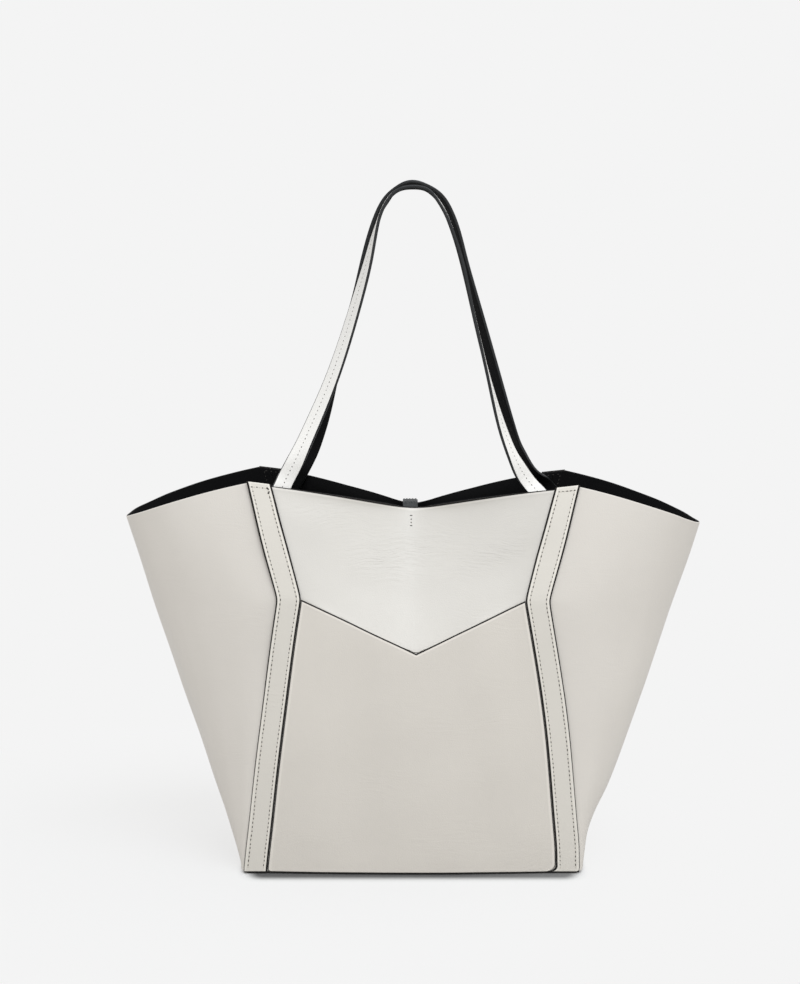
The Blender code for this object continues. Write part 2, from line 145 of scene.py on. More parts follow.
# %% Settling
RIM_TILT = 0.0115
POINT_SHIFT_SHARE = 0.026
CALM_FOOT = 0.03
BAND_SWELL = ((0.0011, 0.272, 0.034),)
FACE_SWAY = ((0.0011, 0.135, 0.060),)
FOOT_FLARES = {
    "right": ((0.0007, 0.006, 0.030), (-0.0014, 0.0, 0.016)),
    "left": ((0.0015, 0.006, 0.030),),
}
PINCHES = {
    "right": ((0.0062, 0.030, 0.029), (-0.0020, 0.160, 0.050)),
    "left": ((0.0018, 0.006, 0.022),),
}
# Size, length round the bag, length up it, start
WAVES = (
    (0.00042, 0.072, 0.400, 0.3),
    (0.00030, 0.115, -0.230, 1.9),
    (0.00022, 0.041, 0.900, 4.1),
    (0.00018, -0.160, 0.085, 2.6),
)
# Size, middle girth, middle height, reach round the bag, reach up it
DENTS = (
    (0.0017, -0.069, 0.296, 0.021, 0.014),
    (-0.0029, 0.063, 0.270, 0.026, 0.017),
    (-0.0008, -0.034, 0.264, 0.022, 0.009),
    (0.0007, 0.004, 0.277, 0.026, 0.009),
)
CREASED = (
    (1.0, 0.002, 0.298, 0.026, 0.012),
    (1.0, -0.022, 0.284, 0.024, 0.011),
    (1.0, 0.054, 0.281, 0.024, 0.009),
    (1.0, -0.062, 0.303, 0.018, 0.009),
)


def bell(value, middle, reach):
    """A smooth hump, one at its middle and near zero beyond twice its reach."""
    return np.exp(-(((value - middle) / reach) ** 2))


def humps_up(height, humps):
    """A sum of humps up the wall."""
    return sum(size * bell(height, middle, reach) for size, middle, reach in humps)


def by_side(side, height, humps):
    """A sum of humps up the wall that has its own humps on the right and on the left."""
    return np.where(side > 0, humps_up(height, humps["right"]), humps_up(height, humps["left"]))


def humps_over(girth, height, humps):
    """A sum of humps over the wall, each the product of a hump round the bag and one up it."""
    return sum(
        size * bell(girth, round_middle, round_reach) * bell(height, up_middle, up_reach)
        for size, round_middle, up_middle, round_reach, up_reach in humps
    )


def creased(girth, height):
    """How finely wrinkled the leather is, from 0 to 1: most where the face is bent by use."""
    return np.clip(humps_over(girth, height, CREASED), 0, 1)


def settled_waves(girth, height):
    """Soft waves of the leather: a sum of sines, each with a length round the bag and one up it,
    and the dents and swellings of the upper front. They calm down towards the foot."""
    total = humps_over(girth, height, DENTS)
    for size, round_length, up_length, start in WAVES:
        turns = girth / round_length + height / up_length
        total = total + size * np.sin(2 * math.pi * turns + start)
    return total * np.clip(height / CALM_FOOT, 0, 1)


print("waves up to", round(sum(wave[0] for wave in WAVES) * 1000, 2), "mm")

# %% [markdown]
# ## The walls
#
# The wall could be lofted between drawn outlines. A formula is chosen instead, because it can be
# asked for a point anywhere, as finely as a piece needs. Each row of the wall runs flat over the
# face, flat over the band, and round the wing on a super-ellipse. Between base, waist and rim every
# size runs straight and turns a rounded corner at the waist.

# %% Helpers for the wall
SMALL_STEP = 0.0002


def ramp(distance, spread):
    """A straight ramp that starts at zero, its corner rounded over the spread."""
    return (distance + np.sqrt(distance**2 + spread**2)) / 2


def between(base, waist, rim, height, spread):
    """A value that runs straight from base to waist to rim, rounded at the waist."""
    lower = (waist - base) / WAIST_HEIGHT
    upper = (rim - waist) / (BAND_TOP - WAIST_HEIGHT)
    return base + lower * height + (upper - lower) * ramp(height - WAIST_HEIGHT, spread)


def leaning(height):
    """The height up the slopes of the wall, which stands upright where it meets the base."""
    above = np.maximum(height - WALL_FOOT, 0)
    return height * (1 - np.exp(-((above / FOOT_SPREAD) ** 2)))


def softened(share, softness):
    """A share from 0 to 1 that leaves 0 softly: its square plus a constant, under a root."""
    return (np.sqrt(share**2 + softness**2) - softness) / (np.sqrt(1 + softness**2) - softness)


def risen(share, softness):
    """How far a face has risen from the valley in its middle, 0, to the band, 1."""
    even = softened(share, softness)
    return even * (1 + RISE_CURVE_SHARE) - even**2 * RISE_CURVE_SHARE


def arch(share):
    """A curve that is one half way and zero at both ends: four times the share and the rest."""
    return 4 * share * (1 - share)


def unit(vectors):
    """The same directions at length one."""
    return vectors / np.linalg.norm(vectors, axis=-1, keepdims=True)


# %% The wall formula


def wall(girth, height):
    """Points of the settled wall. X is face, band and wing laid end to end; Y is the half depth
    times the super-ellipse of the wing, less the lean of the face; Z is the height less the drop
    of the crease, the rim and the wing's tip."""
    girth, height = np.broadcast_arrays(np.asarray(girth, float), np.asarray(height, float))
    turn = np.pi * girth / HALF_TURN
    side, front = np.sign(np.sin(turn)), np.sign(np.cos(turn))
    reach = np.abs((girth + HALF_TURN) % (2 * HALF_TURN) - HALF_TURN)
    along = QUARTER_GIRTH - np.abs(QUARTER_GIRTH - reach)
    face = np.clip(along / FACE_HALF_GIRTH, 0, 1)
    band = np.clip((along - FACE_HALF_GIRTH) / BAND_WIDTH, 0, 1)
    wing = np.clip((along - BAND_OUTER_GIRTH) / WING_HALF_GIRTH, 0, 1)
    spread = CREASE_SPREAD + WING_SPREAD * np.clip(wing / WING_SPREAD_SHARE, 0, 1) ** 2

    lean = leaning(height)
    fullness = between(BASE_FULLNESS, WAIST_FULLNESS, RIM_FULLNESS, lean, spread)
    outward = 1 - (1 - wing) ** 2
    forward = np.sqrt(1 - outward**fullness)

    rise = risen(face, VALLEY_SHARE)
    below_rim = 1 - np.exp(-np.clip(BAND_TOP - lean, 0, None) / SOFT_REACH)
    above_waist = 1 - np.exp(-np.clip(lean - WAIST_HEIGHT, 0, None) / SOFT_REACH)
    fold = risen(face, VALLEY_SHARE + (FOLD_SOFT_SHARE - VALLEY_SHARE) * below_rim)
    share = lean / BAND_TOP
    tip_x = WING_FOOT_HALF_WIDTH + (WING_TIP_HALF_WIDTH - WING_FOOT_HALF_WIDTH) * share
    tip_x = tip_x + WING_BULGE * arch(share)
    band_x = between(BASE_HALF_WIDTH, WAIST_HALF_WIDTH, RIM_HALF_WIDTH, lean, spread)
    band_x = band_x + BAND_BOW * arch(np.clip(lean / WAIST_HEIGHT, 0, 1))
    band_x = band_x + by_side(side, height, FOOT_FLARES)
    band_y = between(BASE_HALF_DEPTH, WAIST_HALF_DEPTH, RIM_HALF_DEPTH, lean, spread)
    mouth_inset = (RIM_HALF_DEPTH - MOUTH_HALF_GAP) * (1 - fold)
    inset = between(-BASE_BOW * (1 - face**2), 0, mouth_inset, lean, spread)
    rim_drop = RIM_DROP * (1 - rise) + BAND_TILT * (1 - band)
    from_point = face * side - POINT_SHIFT_SHARE
    point_face = np.abs(from_point) / (1 - POINT_SHIFT_SHARE * np.sign(from_point))
    point_face = softened(point_face, POINT_SOFT_SHARE * above_waist)
    drop = between(0, POINT_DROP * (1 - point_face), rim_drop, lean, spread)
    wing_drop = WING_TIP_DROP * outward * (1 - WING_DROP_CURVE_SHARE * (1 - outward))

    waves = settled_waves(girth, height)
    swell = humps_up(lean, BAND_SWELL)
    x = (band_x - BAND_WIDTH) * face + (BAND_WIDTH + swell) * band
    x = x + (tip_x - band_x - swell + waves - by_side(side, lean, PINCHES)) * outward
    x = side * x + humps_up(lean, FACE_SWAY) * (1 - outward)
    y = -front * (band_y * forward - inset + waves * forward)
    z = height - drop - wing_drop * share - RIM_TILT * x * share**2
    return np.stack([x, y, z], axis=-1)


def outward_normal(girth, height):
    """Unit vectors out of the wall: the cross product of its slopes round the bag and up it."""
    round_way = wall(girth + SMALL_STEP, height) - wall(girth - SMALL_STEP, height)
    up_way = wall(girth, height + SMALL_STEP) - wall(girth, height - SMALL_STEP)
    return unit(np.cross(round_way, up_way))


def layer(girth, height, out):
    """Points of the wall moved out of it by a distance, or in where the distance is negative."""
    girth, height = np.broadcast_arrays(np.asarray(girth, float), np.asarray(height, float))
    out = np.broadcast_to(np.asarray(out, float), girth.shape)
    return wall(girth, height) + out[..., None] * outward_normal(girth, height)


print("rim in the middle of the front", np.round(wall(0.0, BAND_TOP), 4))

# %% [markdown]
# ## Meshes from grids
#
# A sheet of leather is two grids of points, its outer and its inner face, joined round the border
# by a rim. Solidify could add the thickness to one grid, but the outer face here is rounded off
# towards its edges while the inner one stays plain, so both are given and the rim is built
# between them. A tube is one grid that closes on itself and has a cap at each end.

# %% Helpers for meshes
SHARP_ANGLE = math.radians(50.0)
FINE_PLACES = 4001


def linked(name, vertices, faces, materials, slots=None):
    """A new object with this mesh, smooth except at sharp corners, its place in its mesh."""
    mesh = bpy.data.meshes.new(name)
    mesh.from_pydata(np.asarray(vertices).tolist(), [], faces)
    for material in materials:
        mesh.materials.append(material)
    if slots is not None:
        mesh.polygons.foreach_set("material_index", np.asarray(slots, np.int32))
    mesh.shade_smooth()
    mesh.set_sharp_from_angle(angle=SHARP_ANGLE)
    item = bpy.data.objects.new(name, mesh)
    bpy.context.scene.collection.objects.link(item)
    return item


def quads_of(index):
    """The quads between neighbouring entries of a grid of vertex numbers."""
    corners = [index[:-1, :-1], index[:-1, 1:], index[1:, 1:], index[1:, :-1]]
    return np.stack(corners, -1).reshape(-1, 4)


def slab(name, outer, inner, materials, outer_slots=None, inner_slot=0, rim_slots=(0, 0, 0, 0)):
    """A closed sheet: the outer grid, the inner grid turned over, and a rim that joins their
    borders. The rim's materials are for its foot, right, top and left sides."""
    rows, columns = outer.shape[:2]
    count = rows * columns
    index = np.arange(count).reshape(rows, columns)
    quads = quads_of(index)
    loop = np.concatenate([index[0, :-1], index[:-1, -1], index[-1, :0:-1], index[:0:-1, 0]])
    after = np.roll(loop, -1)
    rim = np.stack([after, loop, loop + count, after + count], 1)
    lengths = (columns - 1, rows - 1, columns - 1, rows - 1)
    outer_slots = np.zeros(len(quads), int) if outer_slots is None else outer_slots.ravel()
    slots = [outer_slots, np.full(len(quads), inner_slot), np.repeat(rim_slots, lengths)]
    vertices = np.concatenate([outer.reshape(-1, 3), inner.reshape(-1, 3)])
    faces = np.concatenate([quads, quads[:, ::-1] + count, rim])
    return linked(name, vertices, faces.tolist(), materials, np.concatenate(slots))


def tube(name, rings, materials):
    """A closed tube: rings of points along it, joined round and along, with a cap at each end."""
    rows, around = rings.shape[:2]
    index = np.arange(rows * around).reshape(rows, around)
    quads = quads_of(np.hstack([index, index[:, :1]]))
    faces = quads.tolist() + [index[0, ::-1].tolist(), index[-1].tolist()]
    return linked(name, rings.reshape(-1, 3), faces, materials)


def spaced(low, high, step, dense=()):
    """Places from low to high, about one step apart, and closer near each dense place. They are
    evenly spread over the running sum of a crowding curve."""
    fine = np.linspace(low, high, FINE_PLACES)
    crowd = np.full(len(fine), 1 / step)
    for place, reach, close_step in dense:
        crowd = crowd + bell(fine, place, reach) / close_step
    run = np.concatenate([[0], np.cumsum((crowd[1:] + crowd[:-1]) / 2 * np.diff(fine))])
    return np.interp(np.linspace(0, run[-1], int(round(run[-1])) + 1), run, fine)


def add_point_attribute(item, name, values):
    """Stores one number for each vertex, which a material can read."""
    attribute = item.data.attributes.new(name, "FLOAT", "POINT")
    attribute.data.foreach_set("value", np.asarray(values, np.float32).ravel())


# %% [markdown]
# ## Riding on a body
#
# Each piece follows one body of the bag: the shell, a handle or the closing tab. A strip that
# bends at a joint can't do that, because it would tear off at its sewn end. For such a strip the
# shell below one height and the moving body above another are written down, and its mesh only
# takes its place in the world.

# %% Helpers for riding


def over_joint(body, low, high):
    """A strip's joint, written as the shell below the low height and the body above the high one.
    """
    return "shell", body, (0.0, 0.0, low), (0.0, 0.0, high)


def dress(item, body, nodes=()):
    """The piece stands for these solids, which are hidden, and rides on a body given by its name.
    Given a joint instead, its mesh only takes its place in the world.
    """
    if nodes:
        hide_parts(*nodes)
    if isinstance(body, str):
        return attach(item, body)
    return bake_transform(item)


print("a strip over a joint follows", over_joint("front_handle", 0.0, BAND_TOP))

# %% [markdown]
# ## Grain and wear, as groups of nodes
#
# Bone leather has a fine grain of small cells, shallow wrinkles that run across it, and a tone
# that drifts a little over the hide. Photographs of leather could be wrapped on it, but worked-out
# patterns stay sharp at any size and need no unwrapping. Each effect is a group of nodes, built
# once, and each leather places it with its own values. The groups put out only heights and masks.

# %% Helpers for nodes


def feed(tree, value, socket):
    """Gives an input its value, which is another node's output or plain numbers."""
    if hasattr(value, "is_output"):
        tree.links.new(value, socket)
    else:
        socket.default_value = value


def added(tree, kind, output, inputs, **settings):
    """Adds a node with its settings, feeds its inputs and gives back one of its outputs."""
    node = tree.nodes.new("ShaderNode" + kind)
    for title, value in settings.items():
        setattr(node, title, value)
    for title, value in inputs.items():
        feed(tree, value, node.inputs[title])
    return node.outputs[output]


def math_node(tree, operation, *values, clamp=False):
    """One sum on two or three values, each an output or a plain number."""
    return added(tree, "Math", 0, dict(enumerate(values)), operation=operation, use_clamp=clamp)


def noise_node(tree, vector, scale, detail, roughness=0.5):
    """A drifting value between zero and one."""
    inputs = {"Vector": vector, "Scale": scale, "Detail": detail, "Roughness": roughness}
    return added(tree, "TexNoise", "Fac", inputs)


def stretch_node(tree, vector, scale):
    """The same coordinates, stretched or squeezed along each axis."""
    return added(tree, "Mapping", "Vector", {"Vector": vector, "Scale": scale})


def new_group(name, inputs, output):
    """An empty node group for coordinates and these inputs, each with its starting value: the
    group, its inputs and its one output."""
    group = bpy.data.node_groups.new(name, "ShaderNodeTree")
    group.interface.new_socket("Vector", in_out="INPUT", socket_type="NodeSocketVector")
    for title, value in inputs.items():
        socket = group.interface.new_socket(title, in_out="INPUT", socket_type="NodeSocketFloat")
        socket.default_value = value
    group.interface.new_socket(output, in_out="OUTPUT", socket_type="NodeSocketFloat")
    sink = group.nodes.new("NodeGroupOutput").inputs[output]
    return group, group.nodes.new("NodeGroupInput").outputs, sink


# %% The groups: pebble grain, wrinkles and drifting tone
PORES_PER_METRE, PORE_SHARE = 2600.0, 0.35
WANDER, WANDER_SCALE, WRINKLE_STRETCH = (0.0, 0.0, 0.020), 22.0, (55, 55, 430)
PATCH_STRETCH, PATCH_START, PATCH_SLOPE, CREASED_GAIN = (14, 14, 26), 0.42, 4.0, 4.6
HIDE_STRETCH, HIDE_SHARE, MOTTLE_SCALE = (11, 11, 5), 0.75, 90.0

grain_inputs = {"Cells per metre": 900.0, "Roundness": 0.6}
pebbles, source, sink = new_group("pebble grain", grain_inputs, "Height")
place = source["Vector"]
shape = {"Scale": source["Cells per metre"], "Smoothness": source["Roundness"]}
cells = added(pebbles, "TexVoronoi", "Distance", {"Vector": place, **shape}, feature="SMOOTH_F1")
mounds = math_node(pebbles, "SUBTRACT", 1.0, cells)
pores = noise_node(pebbles, place, PORES_PER_METRE, 2.0)
feed(pebbles, math_node(pebbles, "MULTIPLY_ADD", pores, PORE_SHARE, mounds), sink)

wrinkles, source, sink = new_group("fine wrinkles", {"Creased": 0.0}, "Height")
place = source["Vector"]
wander_inputs = {"Vector": place, "Scale": WANDER_SCALE, "Detail": 1.0}
drift = added(wrinkles, "TexNoise", "Color", wander_inputs)
bent = added(wrinkles, "VectorMath", 0, {0: drift, 1: WANDER, 2: place}, operation="MULTIPLY_ADD")
lines = noise_node(wrinkles, stretch_node(wrinkles, bent, WRINKLE_STRETCH), 1.0, 3.0, 0.6)
where = noise_node(wrinkles, stretch_node(wrinkles, place, PATCH_STRETCH), 1.0, 1.0)
above = math_node(wrinkles, "SUBTRACT", where, PATCH_START)
patch_mask = math_node(wrinkles, "MULTIPLY", above, PATCH_SLOPE, clamp=True)
depth = math_node(wrinkles, "MULTIPLY_ADD", source["Creased"], CREASED_GAIN, patch_mask)
feed(wrinkles, math_node(wrinkles, "MULTIPLY", lines, depth), sink)

tone, source, sink = new_group("drifting tone", {"Amount": 0.05}, "Value")
place = source["Vector"]
broad = noise_node(tone, stretch_node(tone, place, HIDE_STRETCH), 1.0, 2.0)
mottle = noise_node(tone, place, MOTTLE_SCALE, 3.0)
small = math_node(tone, "MULTIPLY", mottle, 1.0 - HIDE_SHARE)
both = math_node(tone, "MULTIPLY_ADD", broad, HIDE_SHARE, small)
centred = math_node(tone, "SUBTRACT", both, 0.5)
scaled = math_node(tone, "MULTIPLY", centred, source["Amount"])
feed(tone, math_node(tone, "MULTIPLY_ADD", scaled, 2.0, 1.0), sink)
print("groups:", [group.name for group in bpy.data.node_groups])

# %% [markdown]
# ## The materials
#
# The leather is smooth and half glossy, in a warm grey white. On the creased lip beside a painted
# edge it is lightened, a painted highlight. Its wrinkles are deeper where use has bent it. Wings,
# pointed panels and bands have tones of their own, and the pointed panels are darker, painted shade
# near their foot. The pointed panels and the bands are painted lighter upwards, and the straps
# darker, painted light and shade that follow the height. The backing is a black nap that drinks
# light. Edges are sealed with dark paint, glossier on the straps, the threads are matt, the needle
# holes are dark with painted shade, and the tab is dark grey, its black lightened by a painted
# sheen.

# %% Helpers for materials


def new_material(name, colour, roughness, specular=0.5, metallic=0.0):
    """A material with a plain Principled shader: the material, its tree and the shader's inputs."""
    material = bpy.data.materials.new(name)
    material.use_nodes = True
    shader = material.node_tree.nodes["Principled BSDF"].inputs
    shader["Base Color"].default_value = (*colour, 1.0)
    shader["Roughness"].default_value = roughness
    shader["Specular IOR Level"].default_value = specular
    shader["Metallic"].default_value = metallic
    return material, material.node_tree, shader


def object_place(tree):
    """Coordinates fixed to the object, in metres."""
    return added(tree, "TexCoord", "Object", {})


def tinted(tree, colour, factor):
    """The colour times a factor that changes over the surface."""
    return added(tree, "VectorMath", "Vector", {0: colour, "Scale": factor}, operation="SCALE")


def bumped(tree, shader, height, distance, earlier=None):
    """Turns a height into a tilt of the surface's normal, on top of an earlier one."""
    inputs = {"Strength": 1.0, "Distance": distance, "Height": height}
    if earlier is not None:
        inputs["Normal"] = earlier
    normal = added(tree, "Bump", "Normal", inputs)
    feed(tree, normal, shader["Normal"])
    return normal


# %% The leathers
# The first share lightens the leather on the lip beside a painted edge: a painted highlight.
LIP_PAINTED_HIGHLIGHT, GRAIN_ROUGHNESS, GRAIN_SHINE = 0.14, 0.10, 0.06


def bone_leather(name, colour, cells=1300.0, grain_depth=0.00006, wrinkle_depth=0.00018,
                 drift=0.05, roughness=0.46, painted_light_slope=0.0, level=0.0):
    """Bone leather with its own grain, wrinkles, drift of tone and roughness. Its colour is true
    at a level. Above that it is painted lighter by a share for each metre, or darker where that
    share is below zero: a painted gradient of light and shade up the piece."""
    material, tree, shader = new_material(name, colour, roughness)
    place = object_place(tree)
    near = added(tree, "Attribute", "Fac", {}, attribute_name="lip_highlight_mask")
    worn = added(tree, "Attribute", "Fac", {}, attribute_name="creased")
    grain = added(tree, "Group", 0, {"Vector": place, "Cells per metre": cells}, node_tree=pebbles)
    fine = added(tree, "Group", 0, {"Vector": place, "Creased": worn}, node_tree=wrinkles)
    tones = added(tree, "Group", 0, {"Vector": place, "Amount": drift}, node_tree=tone)
    height = added(tree, "SeparateXYZ", "Z", {0: place})
    # The leather is lightened on the lip beside a painted edge: a painted highlight.
    lip_highlight = math_node(tree, "MULTIPLY_ADD", near, LIP_PAINTED_HIGHLIGHT, 1.0)
    # Lighter or darker up the piece: a painted gradient of light and shade.
    painted_light_up = math_node(tree, "MULTIPLY_ADD", height, painted_light_slope, 1.0 - painted_light_slope * level)
    light = math_node(tree, "MULTIPLY", math_node(tree, "MULTIPLY", lip_highlight, tones), painted_light_up)
    feed(tree, tinted(tree, colour, light), shader["Base Color"])
    rough = math_node(tree, "MULTIPLY_ADD", grain, GRAIN_ROUGHNESS, roughness - GRAIN_SHINE)
    feed(tree, rough, shader["Roughness"])
    first = bumped(tree, shader, grain, grain_depth)
    bumped(tree, shader, fine, wrinkle_depth, first)
    return material


leather = bone_leather("bone leather", (0.695, 0.670, 0.627))
wing_leather = bone_leather("wing leather", (0.702, 0.664, 0.613))
# The pointed panels' leather is darker and grows lighter upwards: painted shade near the foot.
shaded_lower_leather = bone_leather("lower bone leather with painted shade", (0.662, 0.624, 0.570), painted_light_slope=0.32)
# The bands are painted lighter upwards and the straps darker upwards: painted light and shade.
band_leather = bone_leather("band leather", (0.675, 0.643, 0.587), painted_light_slope=0.28)
strap_leather = bone_leather(
    "pebbled strap leather", (0.896, 0.878, 0.846), cells=1000.0, grain_depth=0.00014,
    wrinkle_depth=0.0, drift=0.04, roughness=0.5, painted_light_slope=-1.07, level=0.32,
)

# %% Backing, paint, threads, board, tab and metal


def patterned(name, colour, roughness, pattern, base, gain, depth=0.0, specular=0.5):
    """A finish whose tone is a base plus a gain times a pattern. A depth lets the pattern rise."""
    material, tree, shader = new_material(name, colour, roughness, specular)
    value = pattern(tree, object_place(tree))
    factor = math_node(tree, "MULTIPLY_ADD", value, gain, base)
    feed(tree, tinted(tree, colour, factor), shader["Base Color"])
    if depth:
        bumped(tree, shader, value, depth)
    return material


def speckles(scale, detail, roughness=0.5, stretch=(1, 1, 1)):
    """A pattern of noise, the coordinates stretched first."""
    return lambda tree, place: noise_node(
        tree, stretch_node(tree, place, stretch), scale, detail, roughness
    )


def twist(tree, place):
    """Two plies twisted round each other, seen as a fine slanting ripple."""
    inputs = {"Vector": place, "Scale": 900.0}
    return added(tree, "TexWave", "Fac", inputs, bands_direction="DIAGONAL")


def tab_grain(tree, place):
    """The pebble grain of the leathers, finer."""
    inputs = {"Vector": place, "Cells per metre": 1500.0}
    return added(tree, "Group", 0, inputs, node_tree=pebbles)


NAP = (0.0055, 0.0055, 0.006)
EDGE_PAINT, STRAP_PAINT = (0.014, 0.0125, 0.0115), (0.014, 0.015, 0.016)
CREAM, DARK, HOLE_SHADE = (0.64, 0.60, 0.53), (0.05, 0.045, 0.04), (0.06, 0.052, 0.045)
BOARD_GREY, TAB_SHEEN_GREY, STEEL = (0.28, 0.27, 0.25), (0.062, 0.066, 0.067), (0.55, 0.55, 0.56)
# Name, colour, roughness, pattern, base, gain, depth, specular
backing = patterned("black nap", NAP, 0.92, speckles(1600.0, 3.0, 0.7), 0.6, 0.8, 0.0002, 0.15)
paint = patterned(
    "dark edge paint", EDGE_PAINT, 0.5, speckles(420.0, 2.0), 0.65, 0.7, 0.00012, 0.18
)
strap_paint = patterned(
    "glossy strap paint", STRAP_PAINT, 0.36, speckles(300.0, 2.0), 0.55, 0.9, 0.00010, 0.32
)
cream_thread = patterned("cream thread", CREAM, 0.7, twist, 0.8, 0.3, 0.00008)
dark_thread = patterned("dark thread", DARK, 0.7, twist, 0.8, 0.3, 0.00008)
# The needle holes are dark capsules: painted shade in the holes.
needle_hole_shade = patterned("needle hole shade", HOLE_SHADE, 0.8, speckles(700.0, 1.0), 0.5, 1.0)
fibres = speckles(1.0, 4.0, stretch=(60, 400, 400))
board = patterned("grey board", BOARD_GREY, 0.9, fibres, 0.8, 0.4, 0.0001)
# The tab's dark grey is partly its own black and partly a painted sheen.
tab_leather = patterned("dark tab leather", TAB_SHEEN_GREY, 0.6, tab_grain, 0.6, 0.5, 0.0001, 0.3)

metal, tree, shader = new_material("snap metal", STEEL, 0.3, metallic=1.0)
scratches = noise_node(tree, stretch_node(tree, object_place(tree), (900, 900, 90)), 1.0, 2.0)
feed(tree, math_node(tree, "MULTIPLY_ADD", scratches, 0.25, 0.2), shader["Roughness"])
print("materials:", len(bpy.data.materials))

# %% [markdown]
# ## Leather patches
#
# A patch is cut from the wall between two lines of girth. Towards each edge it is rounded off, as
# an edge tool leaves it, and a painted edge carries its dark paint a little way over the face,
# with a pressed lip beside it. Bevel could round the edges evenly, but the paint here is broader
# in some places than in others, so its width is a function of the height.

# %% Rows and columns of a patch
LIP_WIDTH, PATCH_STEP = 0.0020, 0.0025
EDGE_SHARES = np.array([0.0, 1 / 3, 2 / 3, 1.0, 1.0, 1.0])
LIP_SHARES = np.array([0.0, 0.0, 0.0, 0.0, 0.35, 0.7])
CLOSE_ROWS = ((WALL_FOOT, 0.004, 0.0012), (WAIST_HEIGHT, 0.005, 0.0012))


def edge_places(width):
    """Distances from an edge where rows or columns lie: over the rounded width and the lip."""
    lip_width = np.full(np.shape(width), LIP_WIDTH)
    return np.multiply.outer(EDGE_SHARES, width) + np.multiply.outer(LIP_SHARES, lip_width)


def edged_rows(top, foot_width, top_width, step):
    """Heights of a patch's rows: close at its edges, at the foot and at the waist's crease."""
    low, high = WALL_FOOT + foot_width + LIP_WIDTH, top - top_width - LIP_WIDTH
    middle = spaced(low, high, step, CLOSE_ROWS)
    foot_rows, top_rows = edge_places(foot_width), edge_places(top_width)
    return np.concatenate([WALL_FOOT + foot_rows, middle, top - top_rows[::-1]])


def edged_columns(left, right, left_width, right_width, step):
    """Girths of a patch's columns, one row of them for each height."""
    low, high = left + left_width + LIP_WIDTH, right - right_width - LIP_WIDTH
    count = max(int(round(float(np.max(high - low)) / step)), 2)
    middle = low + (high - low) * np.linspace(0, 1, count + 1)[:, None]
    left_part, right_part = edge_places(left_width), edge_places(right_width)
    return np.concatenate([left + left_part, middle, right - right_part[::-1]]).T


print("rows of a plain patch:", len(edged_rows(BAND_TOP, LIP_WIDTH, LIP_WIDTH, PATCH_STEP)))

# %% A leather patch
EDGE_DROP_SHARE, LIP_HEIGHT = 0.45, 0.00012
BORDERS = (np.s_[:3], np.s_[:, -3:], np.s_[-3:], np.s_[:, :3])


def edge_profile(distance, width):
    """How far a face is dropped, as a share, and raised, as a share, this far from its edge."""
    drop = np.clip(1 - distance / width, 0, 1) ** 2
    return drop, arch(np.clip((distance - width) / LIP_WIDTH, 0, 1))


def corner_cut(radius, above):
    """How far a side moves in this far above the foot, as a quarter circle does, or out where
    the radius is negative."""
    near = np.clip(abs(radius) - above, 0, None)
    return np.sign(radius) * (abs(radius) - np.sqrt(radius**2 - near**2))


def leather_patch(name, node, limits, top, out, thickness, edges, painted, step=PATCH_STEP,
                  corners=(0.0, 0.0), dark_back=True, finish=leather):
    """A patch of the wall between two girths, from the foot to a top, as a closed sheet. Edges
    gives the rounded widths at its foot, right, top and left, each a number or a function of
    height, and painted says which carry paint. Its lower corners are cut round. A dark back
    paints its inner face and the cut at its top."""
    foot_width, right_width, top_width, left_width = edges
    rows = edged_rows(top, foot_width, top_width, step)

    def over_rows(value):
        return np.broadcast_to(value(rows) if callable(value) else value, rows.shape).astype(float)

    lefts = over_rows(limits[0]) + corner_cut(corners[0], rows - WALL_FOOT)
    rights = over_rows(limits[1]) - corner_cut(corners[1], rows - WALL_FOOT)
    left_width, right_width = over_rows(left_width), over_rows(right_width)
    girth = edged_columns(lefts, rights, left_width, right_width, step)
    height = np.broadcast_to(rows[:, None], girth.shape)
    sides = [
        edge_profile(height - WALL_FOOT, foot_width),
        edge_profile(rights[:, None] - girth, right_width[:, None]),
        edge_profile(top - height, top_width),
        edge_profile(girth - lefts[:, None], left_width[:, None]),
    ]
    drop = np.max([profile[0] for profile in sides], axis=0)
    lip_highlight = np.max([profile[1] * flag for profile, flag in zip(sides, painted)], axis=0)
    lip_highlight = lip_highlight * (drop == 0)
    outer = layer(girth, height, out - thickness * EDGE_DROP_SHARE * drop + LIP_HEIGHT * lip_highlight)
    inner = layer(girth, height, out - thickness)
    slots = np.zeros((len(rows) - 1, girth.shape[1] - 1), int)
    for flag, border in zip(painted, BORDERS):
        slots[border] = np.maximum(slots[border], flag)
    rims = [painted[0], painted[1], max(painted[2], int(dark_back)), painted[3]]
    item = slab(name, outer, inner, [finish, paint], slots, int(dark_back), rims)
    # The lip's shape is stored for the material, which lightens the leather there: a painted
    # highlight.
    add_point_attribute(item, "lip_highlight_mask", np.concatenate([lip_highlight.ravel(), np.zeros(lip_highlight.size)]))
    add_point_attribute(item, "creased", np.tile(creased(girth, height).ravel(), 2))
    dress(item, "shell", [node])


# %% [markdown]
# ## Faces, overlays and wings
#
# Each face is one panel from rim to base, with a pointed panel laid over its lower part, whose
# upper edges and sides are painted. The wings go round from the front band to the back band. The
# cut rims of faces and wings are painted too, and so are their backs, which show dark in the mouth.

# %% Faces, their pointed overlays and the wings
PLAIN = 0.0005
RIM_PAINT, POINT_PAINT, WING_ROUND = 0.0008, 0.0011, 0.0007
POINT_CORNERS = (0.0020, 0.0066)


def face_limits(start, half):
    """Two girths, half a width to each side of the middle of a face."""
    return start - half, start + half


def wing_limits(start):
    """The girths where a wing starts and ends, under the middles of two bands."""
    return start + SEAM_GIRTH + GAP / 2, start + HALF_TURN - SEAM_GIRTH - GAP / 2


